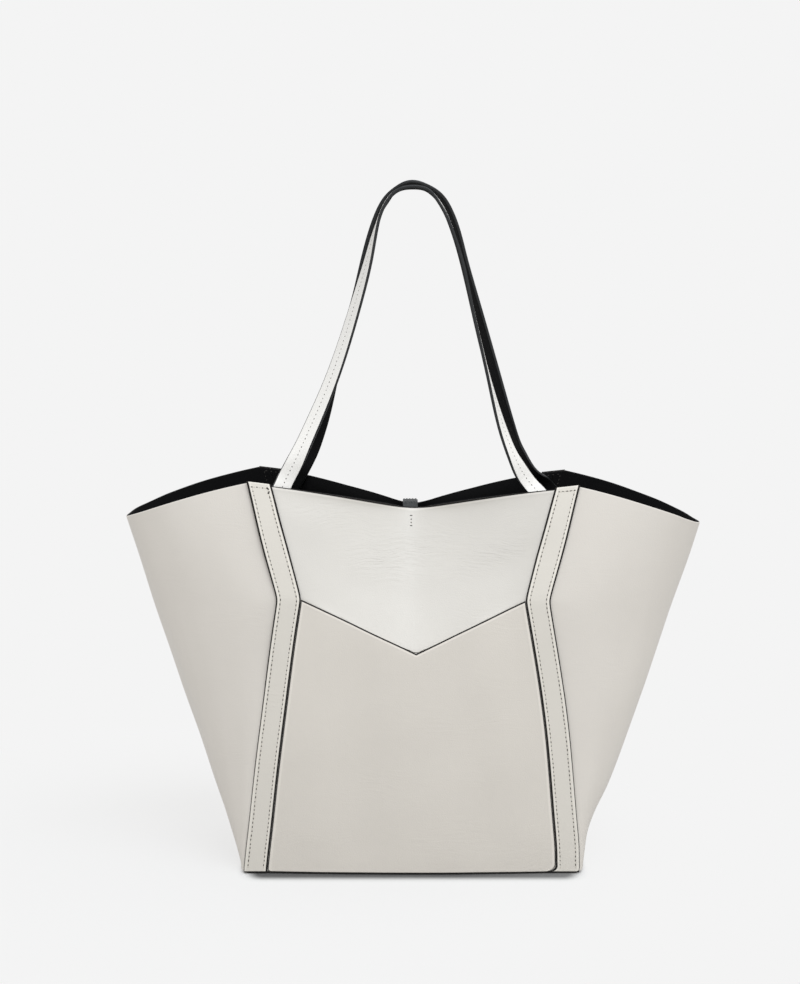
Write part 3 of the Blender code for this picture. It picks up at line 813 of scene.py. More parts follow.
for face, start in FACES:
    leather_patch(
        face + "_panel", face + "_main_panel", face_limits(start, SEAM_GIRTH - GAP / 2),
        BAND_TOP, LEATHER, LEATHER, (PLAIN, PLAIN, RIM_PAINT, PLAIN), (0, 0, 1, 0),
    )
    leather_patch(
        face + "_pointed_overlay", face + "_overlay_panel",
        face_limits(start, FACE_HALF_GIRTH - GAP), WAIST_HEIGHT - GAP, OVERLAY_OUT, OVERLAY,
        (PLAIN, PLAIN, POINT_PAINT, PLAIN), (0, 1, 1, 1), corners=POINT_CORNERS,
        dark_back=False, finish=shaded_lower_leather,
    )
for side, start in WINGS:
    leather_patch(
        side + "_wing_leather", side + "_wing", wing_limits(start), BAND_TOP, LEATHER, LEATHER,
        (PLAIN, PLAIN, WING_ROUND, PLAIN), (0, 0, 0, 0), finish=wing_leather,
    )

# %% [markdown]
# ## The black backing
#
# Behind each leather piece lies a sheet of black nap, a little lower than the leather's rim. It
# shows in the mouth of the bag. It needs no rounded edges, so it is a plain slab on the wall.

# %% Backing sheets
BACKING_STEP = 0.004
BACKING_CLOSE_ROWS = ((WALL_FOOT, 0.004, 0.002), (WAIST_HEIGHT, 0.005, 0.002))


def backing_sheet(name, node, limits):
    """A plain patch of the wall behind the leather, both faces and a rim."""
    rows = spaced(WALL_FOOT, BAND_TOP - GAP, BACKING_STEP, BACKING_CLOSE_ROWS)
    girth, height = np.meshgrid(spaced(*limits, BACKING_STEP), rows)
    outer, inner = (layer(girth, height, out) for out in (LINING_OUT, LINING_OUT - LINING))
    dress(slab(name, outer, inner, [backing]), "shell", [node])


for face, start in FACES:
    backing_sheet(face + "_backing", face + "_lining", face_limits(start, SEAM_GIRTH - GAP / 2))
for side, start in WINGS:
    backing_sheet(side + "_wing_backing", side + "_wing_lining", wing_limits(start))

# %% [markdown]
# ## The bands
#
# A band is a thick strip over each join of a face and a wing. Its long edges are painted: the
# outer paint is broad at the top and thin at the foot, and the inner the other way round. Its top
# is cut straight and painted. At the front it stands a little proud of the rim, and at the back
# hardly at all. The right band spreads to the inside at its foot, over the rounded corner of the
# pointed panel, and its outer corner is worn off.

# %% Bands
BAND_PROUD = {"front": 0.0014, "back": 0.0002}
BAND_CORNERS = {1: (-0.0052, 0.0030), -1: (0.0008, 0.0008)}
BAND_TOP_ROUND, BAND_STEP = 0.0009, 0.002
OUTER_PAINT_FOOT, OUTER_PAINT_GROWTH, OUTER_PAINT_CURVE = 0.0005, 0.0011, 1.5
INNER_PAINT_TOP, INNER_PAINT_GROWTH, INNER_PAINT_REACH = 0.0010, 0.0004, 0.006


def outer_paint(height):
    """Width of paint on a band's outer edge: broad at the top, thin at the foot."""
    share = np.clip(height / BAND_TOP, 0, 1)
    return OUTER_PAINT_FOOT + OUTER_PAINT_GROWTH * share**OUTER_PAINT_CURVE


def inner_paint(height):
    """Width of paint on a band's inner edge: thin above the kink, broad below it."""
    above = (height - WAIST_HEIGHT) / INNER_PAINT_REACH
    return INNER_PAINT_TOP + INNER_PAINT_GROWTH / (1 + np.exp(above))


for face, start in FACES:
    for side, way in (("left", -1), ("right", 1)):
        hand = way if face == "front" else -way
        low, high = sorted((hand * FACE_HALF_GIRTH, hand * BAND_OUTER_GIRTH))
        left_paint, right_paint = (inner_paint, outer_paint)[::hand]
        leather_patch(
            f"{face}_{side}_edged_band", f"{face}_{side}_band", (start + low, start + high),
            BAND_TOP + BAND_PROUD[face], BAND_OUT, BAND,
            (PLAIN, right_paint, BAND_TOP_ROUND, left_paint), (0, 1, 0, 1), BAND_STEP,
            BAND_CORNERS[hand], finish=band_leather,
        )

# %% [markdown]
# ## The base
#
# The base is a leather sheet with a painted edge, a stiff board on it and a lining over the
# board. All three are cut to the outline of the wall's foot, so their grid runs between the
# front half of that outline and the back half. A small bevel rounds their edges.

# %% Base sheets
BASE_STEP, BASE_ROWS, BASE_ROUND, BASE_SIDE_GAP = 0.004, 25, 0.0003, 0.001
BASE_EDGE_BEYOND, BASE_EDGE_RAMP = 0.002, 0.004
BOARD_LOW = BASE_PANEL + GAP
BASE_LINING_LOW = BOARD_LOW + BASE_BOARD + GAP


def base_sheet(name, node, out, low, thickness, materials):
    """A level sheet inside the wall's foot: points on straight lines from front to back. Its
    rim takes the last material."""
    half = QUARTER_GIRTH - BASE_SIDE_GAP
    girth = spaced(-half, half, BASE_STEP)
    inside_bands = BAND_OUTER_GIRTH + BASE_EDGE_BEYOND - np.abs(girth)
    under_bands = np.clip(inside_bands / BASE_EDGE_RAMP, 0, 1)
    out = INSIDE_OUT + (out - INSIDE_OUT) * under_bands
    front_line = layer(girth, WALL_FOOT, out)
    back_line = layer(HALF_TURN - girth, WALL_FOOT, out)
    share = np.linspace(0, 1, BASE_ROWS)[:, None, None]
    sheet = front_line * (1 - share) + back_line * share
    upper, lower = sheet.copy(), sheet.copy()
    upper[..., 2], lower[..., 2] = low + thickness, low
    item = slab(name, upper, lower, materials, rim_slots=(len(materials) - 1,) * 4)
    bevel = item.modifiers.new("rounded edge", "BEVEL")
    bevel.width, bevel.segments, bevel.limit_method = BASE_ROUND, 2, "ANGLE"
    dress(item, "shell", [node])


base_sheet("base_sheet", "base_panel", LEATHER, 0.0, BASE_PANEL, [leather, paint])
base_sheet("stiff_board", "base_board", INSIDE_OUT, BOARD_LOW, BASE_BOARD, [board])
base_sheet(
    "base_backing", "base_lining", INSIDE_OUT, BASE_LINING_LOW, BASE_LINING, [backing]
)

# %% [markdown]
# ## Handles
#
# Each handle is one strap of two plies, leather outside and black inside, with painted edges. It
# is sewn inside the rim, rises, turns on edge and leans over to the other foot. A curve object
# with a profile would twist by its own rules, so the strap is carried along a path of our own,
# with the direction of its width given at each point. The moving part bends over the rim where
# the sewn end stops. That joint and its two heights are written down for the whole strap, whose
# mesh only takes its place in the world.

# %% Sizes of the handles
STRAP_WIDTH, STRAP_OUTER_PLY, STRAP_INNER_PLY = 0.0140, 0.0013, 0.0011
STRAP_THICKNESS = STRAP_OUTER_PLY + GAP + STRAP_INNER_PLY
HANDLE_HALF_SPAN, HANDLE_SHIFT, HANDLE_TOP_GAP = 0.1020, 0.0037, 0.0040
HANDLES = (("front", 0.2457), ("back", 0.2499))
STRAP_END_LENGTH, STRAP_END_STAND, STRAP_BEND_GAP = 0.0400, 0.0060, 0.0007
STRAP_BEND_LOW, STRAP_BEND_HIGH = 0.3165, 0.3345
HANDLE_TOP_Y = -(STRAP_WIDTH + HANDLE_TOP_GAP) / 2
HANDLE_RISE_SHARES = (0.090, 0.194, 0.350, 0.616, 0.760, 0.850, 0.908, 0.962, 0.992)
LEG_SPAN_SHARES = {
    "front_left": (0.945, 0.825, 0.664, 0.454, 0.358, 0.306, 0.263, 0.196, 0.110),
    "front_right": (0.821, 0.721, 0.616, 0.467, 0.388, 0.321, 0.266, 0.190, 0.110),
    "back_left": (0.868, 0.776, 0.671, 0.488, 0.404, 0.337, 0.276, 0.190, 0.110),
    "back_right": (0.917, 0.821, 0.705, 0.513, 0.416, 0.354, 0.299, 0.215, 0.110),
}
LEG_TWIST_DEGREES = {
    "front_left": (8.7, 28.0, 40.3, 55.0, 67.7, 81.0, 88.7, 87.6, 92.2),
    "front_right": (48.3, 64.5, 82.4, 90.6, 93.0, 90.2, 87.5, 86.9, 95.2),
    "back_left": (16.7, 32.0, 55.1, 82.2, 84.5, 81.8, 76.2, 75.7, 91.2),
    "back_right": (63.6, 61.0, 58.9, 63.1, 71.2, 70.7, 71.6, 75.6, 84.2),
}
LEG_SLANT_DEGREES = {"front_left": 23.5, "front_right": 36.5, "back_left": 26.5, "back_right": 42.5}
RIM_TWIST_DEGREES = {"front_left": 8.0, "front_right": 42.4, "back_left": 11.9, "back_right": 47.0}
RIM_TWIST_LENGTH = 0.0200
TOP_TILT_SHARES = {"front": 0.05, "back": -0.20}

# %% Helpers for lines


def run_along(points):
    """The length of a line from its start to each of its points."""
    return np.concatenate([[0], np.cumsum(np.linalg.norm(np.diff(points, axis=0), axis=1))])


def square_to(axis, vectors):
    """The same directions turned square to an axis, at length one."""
    return unit(vectors - axis * np.sum(vectors * axis, axis=1, keepdims=True))


def smooth_path(points, steps):
    """A natural cubic spline through the points. Its bend at each point comes from one set of
    linear sums, and it changes evenly along each stretch, so the curve has no kinks."""
    points = np.asarray(points, float)
    run = run_along(points[:, :3])
    gap, slope = np.diff(run), np.diff(points, axis=0) / np.diff(run)[:, None]
    sums = np.eye(len(points))
    inside = np.arange(1, len(points) - 1)
    sums[inside, inside - 1], sums[inside, inside + 1] = gap[:-1] / 6, gap[1:] / 6
    sums[inside, inside] = (gap[:-1] + gap[1:]) / 3
    bends = np.zeros(points.shape)
    bends[inside] = np.diff(slope, axis=0)
    bends = np.linalg.solve(sums, bends)
    place = np.interp(np.linspace(0, len(gap), len(gap) * steps + 1), np.arange(len(run)), run)
    at = np.clip(np.searchsorted(run, place, side="right") - 1, 0, len(gap) - 1)
    after = ((place - run[at]) / gap[at])[:, None]
    before, square = 1 - after, gap[at][:, None] ** 2 / 6
    bent = (before**3 - before) * bends[at] + (after**3 - after) * bends[at + 1]
    return before * points[at] + after * points[at + 1] + bent * square


def carried(middle, width, outward, across, out):
    """A grid of points: a profile, across and out of a strip, carried along its path."""
    across, out = np.broadcast_arrays(np.asarray(across, float), np.asarray(out, float))
    return middle[:, None] + width[:, None] * across[..., None] + outward[:, None] * out[..., None]


# %% The path of a strap
PATH_STEPS, END_POINTS, NUDGE = 10, 5, 0.001


def face_girth_at(x, height):
    """The girth on the front face at this distance from the middle."""
    band_x = between(BASE_HALF_WIDTH, WAIST_HALF_WIDTH, RIM_HALF_WIDTH, height, CREASE_SPREAD)
    half = band_x - BAND_WIDTH
    beyond = np.sign(x) * (FACE_HALF_GIRTH + np.abs(x) - half)
    return np.where(np.abs(x) < half, x / half * FACE_HALF_GIRTH, beyond)


def on_strap_line(side, slant, along, across, out, back):
    """Points on a strap's line inside a face: along it from the rim, and across it. The back
    handle is the front one turned half round."""
    slant_x, slant_up = math.sin(slant), math.cos(slant)
    x = side * (HANDLE_HALF_SPAN - slant_x * along) - HANDLE_SHIFT + slant_up * across
    height = BAND_TOP + slant_up * along + side * slant_x * across
    return layer(face_girth_at(x, height) + back * HALF_TURN, height, out)


def handle_leg(side, rise, name, back):
    """Middle points and width directions of one leg, from the foot of its sewn end upwards."""
    turn = np.array([-1.0, -1.0, 1.0]) if back else np.ones(3)
    low = STRAP_END_STAND + STRAP_BEND_GAP
    along = np.concatenate([np.linspace(-STRAP_END_LENGTH, 0, END_POINTS), [low]])
    middle_out = INSIDE_OUT - STRAP_THICKNESS / 2
    slant = math.radians(LEG_SLANT_DEGREES[name])

    def sewn(across, out):
        return on_strap_line(side, slant, along, across, out, back)

    middle = sewn(0.0, middle_out)
    width = (sewn(-side * STRAP_WIDTH / 2, middle_out) - middle) / (STRAP_WIDTH / 2)
    outward = (sewn(0.0, middle_out + NUDGE) - middle) / NUDGE
    share = np.clip(1 + along / RIM_TWIST_LENGTH, 0, 1)[:, None]
    early = math.radians(RIM_TWIST_DEGREES[name]) * share**2 * (3 - 2 * share)
    middle = middle - outward * STRAP_WIDTH / 2 * np.sin(early)
    width = width * np.cos(early) + outward * np.sin(early)
    feet = [on_strap_line(way, slant, 0.0, 0.0, INSIDE_OUT, back) for way in (-1, 1)]
    rim_y = (feet[side > 0] * turn)[1]
    level_z = (feet[0][2] + feet[1][2]) / 2
    height = np.array(HANDLE_RISE_SHARES)
    x = side * HANDLE_HALF_SPAN * np.array(LEG_SPAN_SHARES[name])
    y = rim_y + (HANDLE_TOP_Y - rim_y) * height
    z = level_z + rise * height
    angle = np.radians(LEG_TWIST_DEGREES[name])
    turns = np.stack([-side * np.cos(angle), -np.sin(angle), np.zeros(len(angle))], 1)
    free = np.stack([x, y, z], 1) * turn
    top = np.array([[0.0, HANDLE_TOP_Y, level_z + rise]]) * turn
    return np.vstack([middle, free]), np.vstack([width, turns * turn]), top


def handle_path(face, rise):
    """Middle line, width directions and outward directions of a whole strap."""
    back = face == "back"
    names = (face + "_left", face + "_right")[:: -1 if back else 1]
    legs = [handle_leg(side, rise, name, back) for side, name in zip((-1, 1), names)]
    (left, left_width, top), (right, right_width, _) = legs
    across_top = [[0.0, 1.0 if back else -1.0, TOP_TILT_SHARES[face]]]
    middles = np.vstack([left, top, right[::-1]])
    widths = np.vstack([left_width, across_top, right_width[::-1]])
    path = smooth_path(np.hstack([middles, widths]), PATH_STEPS)
    along = unit(np.gradient(path[:, :3], axis=0))
    width = square_to(along, path[:, 3:])
    return path[:, :3], width, np.cross(width, along)


handle_paths = {face: handle_path(face, rise) for face, rise in HANDLES}
for face, (middle, _, _) in handle_paths.items():
    print(face, "strap length", round(float(run_along(middle)[-1]), 3), "m")

# %% Straps: leather ply, black ply and painted edges
HALF_STRAP, HALF_THICK = STRAP_WIDTH / 2, STRAP_THICKNESS / 2
PLY_HALF_SHARES = np.array([0.2, 0.45, 0.7, 0.88, 0.96, 1.0])
PLY_SHARES = np.concatenate([-PLY_HALF_SHARES[::-1], [0.0], PLY_HALF_SHARES])
PLY_ROUND, ROUND_FROM = 0.0004, 0.8
BEAD_RADIUS, BEAD_INSET, BEAD_SIDES = 0.00042, 0.0001, 12

bead_turn = np.linspace(0, 2 * math.pi, BEAD_SIDES, endpoint=False)
plies_across = PLY_SHARES * HALF_STRAP
worn_off = PLY_ROUND * np.clip((np.abs(PLY_SHARES) - ROUND_FROM) / (1 - ROUND_FROM), 0, 1) ** 2
strap_bends = {
    face: over_joint(face + "_handle", STRAP_BEND_LOW, STRAP_BEND_HIGH) for face in handle_paths
}


def ply(name, face, nodes, outer_out, inner_out, materials):
    """One ply of a strap between two distances out of its middle line. Its rim takes the last
    material."""
    path = handle_paths[face]
    outer, inner = (carried(*path, plies_across, out) for out in (outer_out, inner_out))
    item = slab(name, outer, inner, materials, rim_slots=(len(materials) - 1,) * 4)
    dress(item, strap_bends[face], nodes)


for face, path in handle_paths.items():
    handle = face + "_handle"
    nodes = [handle + "_strap", handle + "_left_end", handle + "_right_end"]
    ply(
        face + "_strap_leather", face, nodes,
        HALF_THICK - worn_off, HALF_THICK - STRAP_OUTER_PLY, [strap_leather, paint],
    )
    ply(
        face + "_strap_backing", face, [handle + "_strap_lining"],
        STRAP_INNER_PLY - HALF_THICK, worn_off - HALF_THICK, [backing],
    )
    for title, way in (("inner", 1), ("outer", -1)):
        bead_across = way * (HALF_STRAP - BEAD_INSET) + BEAD_RADIUS * np.cos(bead_turn)
        rings = carried(*path, bead_across, (HALF_THICK - BEAD_INSET) * np.sin(bead_turn))
        bead = tube(f"{face}_strap_{title}_edge_paint", rings, [strap_paint])
        dress(bead, strap_bends[face])

# %% [markdown]
# ## Stitches
#
# A lockstitch shows as short cream threads that dive into needle holes. The holes are small dark
# capsules on the leather: painted shade where the holes are. An array modifier along a curve would
# bend each stitch, and there are more than a thousand of them. So one small capsule of thirty faces
# is copied to every place at once: each row of stitches gives centres, directions along the row and
# directions out of the leather.

# %% Stitch helpers
RING_SHARES, RING_SIZES = np.array([-0.8, -0.4, 0.4, 0.8]), np.array([0.62, 1.0, 1.0, 0.62])
RING_SIDES = 6
RING_ANGLES = np.linspace(0, 2 * math.pi, RING_SIDES, endpoint=False)
CHANCE_SEED = 3


def capsule():
    """A closed capsule with half sizes of one: rings along it and a point at each end."""
    along = np.repeat(RING_SHARES, RING_SIDES)
    beside = np.outer(RING_SIZES, np.cos(RING_ANGLES)).ravel()
    outward = np.outer(RING_SIZES, np.sin(RING_ANGLES)).ravel()
    vertices = np.vstack([np.stack([along, beside, outward], 1), [[-1.0, 0, 0], [1.0, 0, 0]]])
    index = np.arange(len(along)).reshape(-1, RING_SIDES)
    closed = np.hstack([index, index[:, :1]])
    first = np.stack([np.full(RING_SIDES, len(along)), closed[0, :-1], closed[0, 1:]], 1)
    last = np.stack([np.full(RING_SIDES, len(along) + 1), closed[-1, 1:], closed[-1, :-1]], 1)
    return vertices, quads_of(closed)[:, ::-1], np.vstack([first, last])


def sown(name, rows, half_sizes, raise_by, material, uneven=0.0, body="shell"):
    """Capsules of these half sizes at every place of the rows, raised out of the leather. Each
    is a little longer or shorter than the next, and a little off its place."""
    centres, along, outward = (np.vstack(part) for part in zip(*rows))
    chance = np.random.default_rng(CHANCE_SEED).uniform(-uneven, uneven, (len(centres), 3, 1))
    beside = np.cross(outward, along)
    centres = centres + outward * raise_by + along * chance[:, 0] * half_sizes[0]
    centres = centres + beside * chance[:, 1] * half_sizes[1]
    axes = np.stack([along * (1 + chance[:, 2]), beside, outward], 1)
    vertices, sides, caps = capsule()
    points = centres[:, None] + (vertices * np.array(half_sizes))[None] @ axes
    shift = (np.arange(len(centres)) * len(vertices))[:, None, None]
    faces = (sides[None] + shift).reshape(-1, 4).tolist()
    faces += (caps[None] + shift).reshape(-1, 3).tolist()
    dress(linked(name, points.reshape(-1, 3), faces, [material]), body)


def even_places(points, outward, pitch, shift=0.0):
    """Even places along a finely drawn line: centres, directions along it and out of it."""
    run = run_along(points)
    count = int(run[-1] / pitch)
    places = (np.arange(count) + 0.5 + shift) * run[-1] / count

    def at(values, where):
        return np.stack([np.interp(where, run, values[:, k]) for k in range(3)], 1)

    along = unit(at(points, places + pitch / 5) - at(points, places - pitch / 5))
    return at(points, places), along, square_to(along, at(outward, places))


print("vertices of a stitch:", len(capsule()[0]))

# %% Rows of stitches on the bands
PITCH, TOP_PITCH_SHARE = 0.0036, 0.9
LONG_ROW_POINTS, TOP_ROW_POINTS = 900, 60
STITCH_INSET, TOP_STITCH_DROP, ROW_FOOT = 0.0034, 0.0026, 0.004
BAND_THREAD, BAND_HOLE = (0.00092, 0.00031, 0.00022), (0.00092, 0.00040, 0.00012)
THREAD_RAISE, HOLE_RAISE = 0.00004, 0.00002


def wall_row(girth, height, out, facing, pitch, shift):
    """Even places along a line on the wall, facing out of the bag or into it."""
    girth, height = np.broadcast_arrays(girth, height)
    points, outward = layer(girth, height, out), outward_normal(girth, height) * facing
    return even_places(points, outward, pitch, shift)


def band_rows(start, hand, out, facing, shift):
    """The two long rows of a band and the short one under its top, on one side of the wall."""
    top = BAND_TOP - TOP_STITCH_DROP
    lines = FACE_HALF_GIRTH + STITCH_INSET, BAND_OUTER_GIRTH - STITCH_INSET
    heights = np.linspace(ROW_FOOT, top, LONG_ROW_POINTS)
    rows = [wall_row(start + hand * line, heights, out, facing, PITCH, shift) for line in lines]
    girth = start + hand * np.linspace(*lines, TOP_ROW_POINTS)
    return rows + [wall_row(girth, top, out, facing, PITCH * TOP_PITCH_SHARE, shift)]


for face, start in FACES:
    threads, holes, inside = [], [], []
    for hand in (-1, 1):
        threads += band_rows(start, hand, BAND_OUT, 1, 0.0)
        holes += band_rows(start, hand, BAND_OUT, 1, 0.5)
        inside += band_rows(start, hand, LINING_OUT - LINING, -1, 0.0)
    sown(face + "_band_threads", threads, BAND_THREAD, THREAD_RAISE, cream_thread, 0.15)
    sown(face + "_band_needle_holes", holes, BAND_HOLE, HOLE_RAISE, needle_hole_shade, 0.30)
    sown(face + "_inside_threads", inside, BAND_THREAD, THREAD_RAISE, dark_thread, 0.15)
    print(face, "stitches on the bands:", sum(len(row[0]) for row in threads))

# %% Stitches along the straps
STRAP_THREAD, STRAP_HOLE = (0.00105, 0.00032, 0.00010), (0.00062, 0.00037, 0.00008)

for face, (middle, width, outward) in handle_paths.items():
    surface, bend = middle + outward * HALF_THICK, strap_bends[face]
    threads, holes = ([even_places(surface, outward, PITCH, shift)] for shift in (0.0, 0.5))
    sown(face + "_strap_threads", threads, STRAP_THREAD, 0.0, strap_leather, 0.1, bend)
    sown(face + "_strap_needle_holes", holes, STRAP_HOLE, HOLE_RAISE, needle_hole_shade, 0.25, bend)

# %% The knots of a band's thread and the stitches that hold the tab
KNOT, MARK_END = (0.0014, 0.0006, 0.0004), (0.00115, 0.00045, 0.00025)
MARK_DOT, KNOT_RAISE, MARK_RAISE = (0.00055, 0.00060, 0.00020), 0.0001, 0.00003
KNOT_DROPS, MARK_DROPS = np.array([0.0026, 0.0058]), np.array([0.0056, 0.0080, 0.0101, 0.0121])
KNOT_SLANTS, MARK_GIRTH = np.array([[0.8, 0.0, -0.6], [-0.5, 0.0, -0.85]]), -0.0011


def single_stitches(girth, drops, out, directions):
    """Places for single stitches, so far under the rim, each with its own direction."""
    girth, height = np.full(len(drops), girth), BAND_TOP - drops
    outward = outward_normal(girth, height)
    return layer(girth, height, out), square_to(outward, directions), outward


knots = single_stitches(-FACE_HALF_GIRTH - STITCH_INSET, KNOT_DROPS, BAND_OUT, KNOT_SLANTS)
sown("thread_knots", [knots], KNOT, KNOT_RAISE, dark_thread)
level = np.tile([1.0, 0.0, 0.0], (len(MARK_DROPS), 1))
marks = single_stitches(MARK_GIRTH, MARK_DROPS, LEATHER, level)
sown("tab_stitch_ends", [[part[::3] for part in marks]], MARK_END, MARK_RAISE, needle_hole_shade)
sown("tab_stitches", [[part[1:3] for part in marks]], MARK_DOT, MARK_RAISE, needle_hole_shade)

# %% [markdown]
# ## The closing tab
#
# A dark strip is sewn inside the middle of each rim. The front one comes up over the mouth and
# lies on the back one, and a snap holds the two. The strip is ribbed along its length. The
# profile across it is a row of soft ribs, carried along a line that rises, bends and runs level.

# %% Tab strips
TAB_WIDTH, TAB_THICKNESS, TAB_END_LENGTH = 0.0125, 0.0015, 0.0240
TAB_STAND, TAB_BEND, TAB_MARGIN, BACK_TAB_DROP = 0.0010, 0.0018, 0.0020, 0.0252
TAB_BEND_LOW, TAB_BEND_HIGH = 0.2980, 0.3025
SNAP_Y, SNAP_RADIUS, SNAP_SOCKET, SNAP_CAP = 0.0010, 0.0052, 0.0014, 0.0012
TAB_X, RIB_COUNT, RIB_SLANT, RIB_DEPTH, TAB_ROUND = -0.0020, 5, 0.25, 0.00030, 0.0007
TAB_END_POINTS, TAB_BEND_POINTS, TAB_COLUMNS = 12, 10, 49
BACK_TAB_LEVEL = BAND_TOP - BACK_TAB_DROP
SOCKET_LOW = BACK_TAB_LEVEL + TAB_THICKNESS / 2 + GAP
CAP_LOW = SOCKET_LOW + SNAP_SOCKET + GAP
FRONT_TAB_LEVEL = CAP_LOW + SNAP_CAP + GAP + TAB_THICKNESS / 2


def tab_line(girth, way, rise, level):
    """Middle line of a tab: up inside the face, round a bend, then level to its free end."""
    rim, normal = wall(girth, BAND_TOP), outward_normal(girth, BAND_TOP)
    foot = rim + normal * (INSIDE_OUT - TAB_THICKNESS / 2)
    up = unit(rim - wall(girth, BAND_TOP - SMALL_STEP))
    sewn = foot + up * np.linspace(-TAB_END_LENGTH, rise, TAB_END_POINTS)[:, None]
    corner = foot + up * (level - foot[2]) / up[2]
    before, after = corner - up * TAB_BEND, corner + np.array([0.0, way * TAB_BEND, 0.0])
    share = np.linspace(0, 1, TAB_BEND_POINTS)[:, None]
    bend = before * (1 - share) ** 2 + corner * 2 * share * (1 - share) + after * share**2
    end = np.array([0.0, SNAP_Y + way * (SNAP_RADIUS + TAB_MARGIN), level])
    line = np.vstack([sewn, bend, after + (end - after) * share[1:]])
    line[:, 0] = TAB_X
    return line


def tab_strip(face, girth, way, rise, level, body):
    """A ribbed strip carried along its line: its outer face rises and falls in slanted ribs."""
    line = tab_line(girth, way, rise, level)
    width = np.tile([way, 0.0, 0.0], (len(line), 1))
    outward = np.cross(width, unit(np.gradient(line, axis=0)))
    across = np.linspace(-TAB_WIDTH / 2, TAB_WIDTH / 2, TAB_COLUMNS)
    slant = across - way * RIB_SLANT * (run_along(line)[:, None] - TAB_END_LENGTH)
    ribs = RIB_DEPTH * (1 + np.cos(slant / TAB_WIDTH * 2 * math.pi * RIB_COUNT)) ** 1.5
    beyond = (np.abs(across) / (TAB_WIDTH / 2) - ROUND_FROM) / (1 - ROUND_FROM)
    edge = TAB_ROUND * np.clip(beyond, 0, 1) ** 2
    outer = carried(line, width, outward, across, TAB_THICKNESS / 2 - ribs - edge)
    inner = carried(line, width, outward, across, -TAB_THICKNESS / 2)
    item = slab(face + "_tab_strip", outer, inner, [tab_leather])
    dress(item, body, [face + "_tab", face + "_tab_end"])


tab_joint = over_joint("closing_tab", TAB_BEND_LOW, TAB_BEND_HIGH)
tab_strip("front", 0.0, 1.0, TAB_STAND, FRONT_TAB_LEVEL, tab_joint)
tab_strip("back", HALF_TURN, -1.0, 0.0, BACK_TAB_LEVEL, "shell")
print("tabs lie at", round(BACK_TAB_LEVEL, 4), "and", round(FRONT_TAB_LEVEL, 4))

# %% [markdown]
# ## The snap
#
# The snap has a ring on the back tab and a stud under the front one. Both are turned parts, so a
# profile of radius and level is spun round an upright line, with rounded corners.

# %% Snap halves
PIN_RADIUS, BORE_RADIUS, AXIS_RADIUS, TURNED_SIDES = 0.0018, 0.0022, 0.0002, 48
FINE, ROUND = 0.0003, 0.0004


def turned(name, profile, closed, body, node):
    """A profile of radius and level pairs, spun round the snap's upright line."""
    radius, level = np.array(profile).T
    angle = np.linspace(0, 2 * math.pi, TURNED_SIDES, endpoint=False)
    x, y = TAB_X + np.outer(np.cos(angle), radius), SNAP_Y + np.outer(np.sin(angle), radius)
    rings = np.stack([x, y, np.broadcast_to(level, x.shape)], -1)
    index = np.arange(x.size).reshape(x.shape)
    index = np.vstack([index, index[:1]])
    if closed:
        faces = quads_of(np.hstack([index, index[:, :1]])).tolist()
    else:
        faces = quads_of(index).tolist() + [index[:-1, 0].tolist(), index[-2::-1, -1].tolist()]
    item = linked(name, rings.reshape(-1, 3), faces, [metal])
    dress(item, body, [node])


socket_top, pin_low, cap_top = SOCKET_LOW + SNAP_SOCKET, SOCKET_LOW + GAP, CAP_LOW + SNAP_CAP
ring_profile = [
    (BORE_RADIUS, SOCKET_LOW), (SNAP_RADIUS - FINE, SOCKET_LOW), (SNAP_RADIUS, SOCKET_LOW + FINE),
    (SNAP_RADIUS, socket_top - ROUND), (SNAP_RADIUS - ROUND, socket_top),
    (BORE_RADIUS + FINE, socket_top), (BORE_RADIUS, socket_top - FINE),
]
stud_profile = [
    (AXIS_RADIUS, pin_low), (PIN_RADIUS - ROUND, pin_low), (PIN_RADIUS, pin_low + ROUND),
    (PIN_RADIUS, CAP_LOW), (SNAP_RADIUS - FINE, CAP_LOW), (SNAP_RADIUS, CAP_LOW + FINE),
    (SNAP_RADIUS - FINE, cap_top), (AXIS_RADIUS, cap_top),
]
turned("snap_ring", ring_profile, True, "shell", "snap_socket")
turned("snap_button", stud_profile, False, "closing_tab", "snap_stud")

# %% [markdown]
# ## Floor, background and lamps
#
# The bag stands on a pale floor that runs into a pale background without a line. The camera sees
# the floor partly as a plain tone and partly as a lit surface, which keeps the soft shadow. Close
# round the foot of the bag its colour for the camera is darkened as well, a painted contact shadow.
# A large soft lamp hangs high in front of the bag, a little to the right. A weak one on the right
# lifts that side, and the surroundings fill in the rest.

# %% Floor
BACKGROUND = (0.9047, 0.9047, 0.9047, 1.0)
FLOOR_SEEN, FLOOR_BOUNCE, FLOOR_HALF, FLOOR_LOW = 0.80, 0.63, 6.0, -0.0002
FOOTPRINT_HALF, SHADE_MIDDLE = (0.1220, 0.0750, 1.0), (-0.16, 0.0, 0.0)
# Where each fade starts and ends, and its value at both
CLOSE_FADE, WIDE_FADE = (0.015, 0.024, 0.80, 0.0), (0.12, 0.42, 0.25, 0.0)
# The last fade darkens the floor close round the foot: a painted contact shadow.
PAINTED_SHADOW_FADE = (0.0055, 0.0185, 0.17, 1.0)


def vector_node(tree, operation, *values, output=0):
    """One step on vectors, each an output or three plain numbers."""
    return added(tree, "VectorMath", output, dict(enumerate(values)), operation=operation)


def faded(tree, value, start, end, low, high):
    """A value that runs smoothly from low to high while another goes from start to end."""
    inputs = {"Value": value, "From Min": start, "From Max": end, "To Min": low, "To Max": high}
    return added(tree, "MapRange", "Result", inputs, interpolation_type="SMOOTHSTEP")


def bare_tree(owner):
    """The nodes of a material or a world, all taken out."""
    owner.use_nodes = True
    owner.node_tree.nodes.clear()
    return owner.node_tree


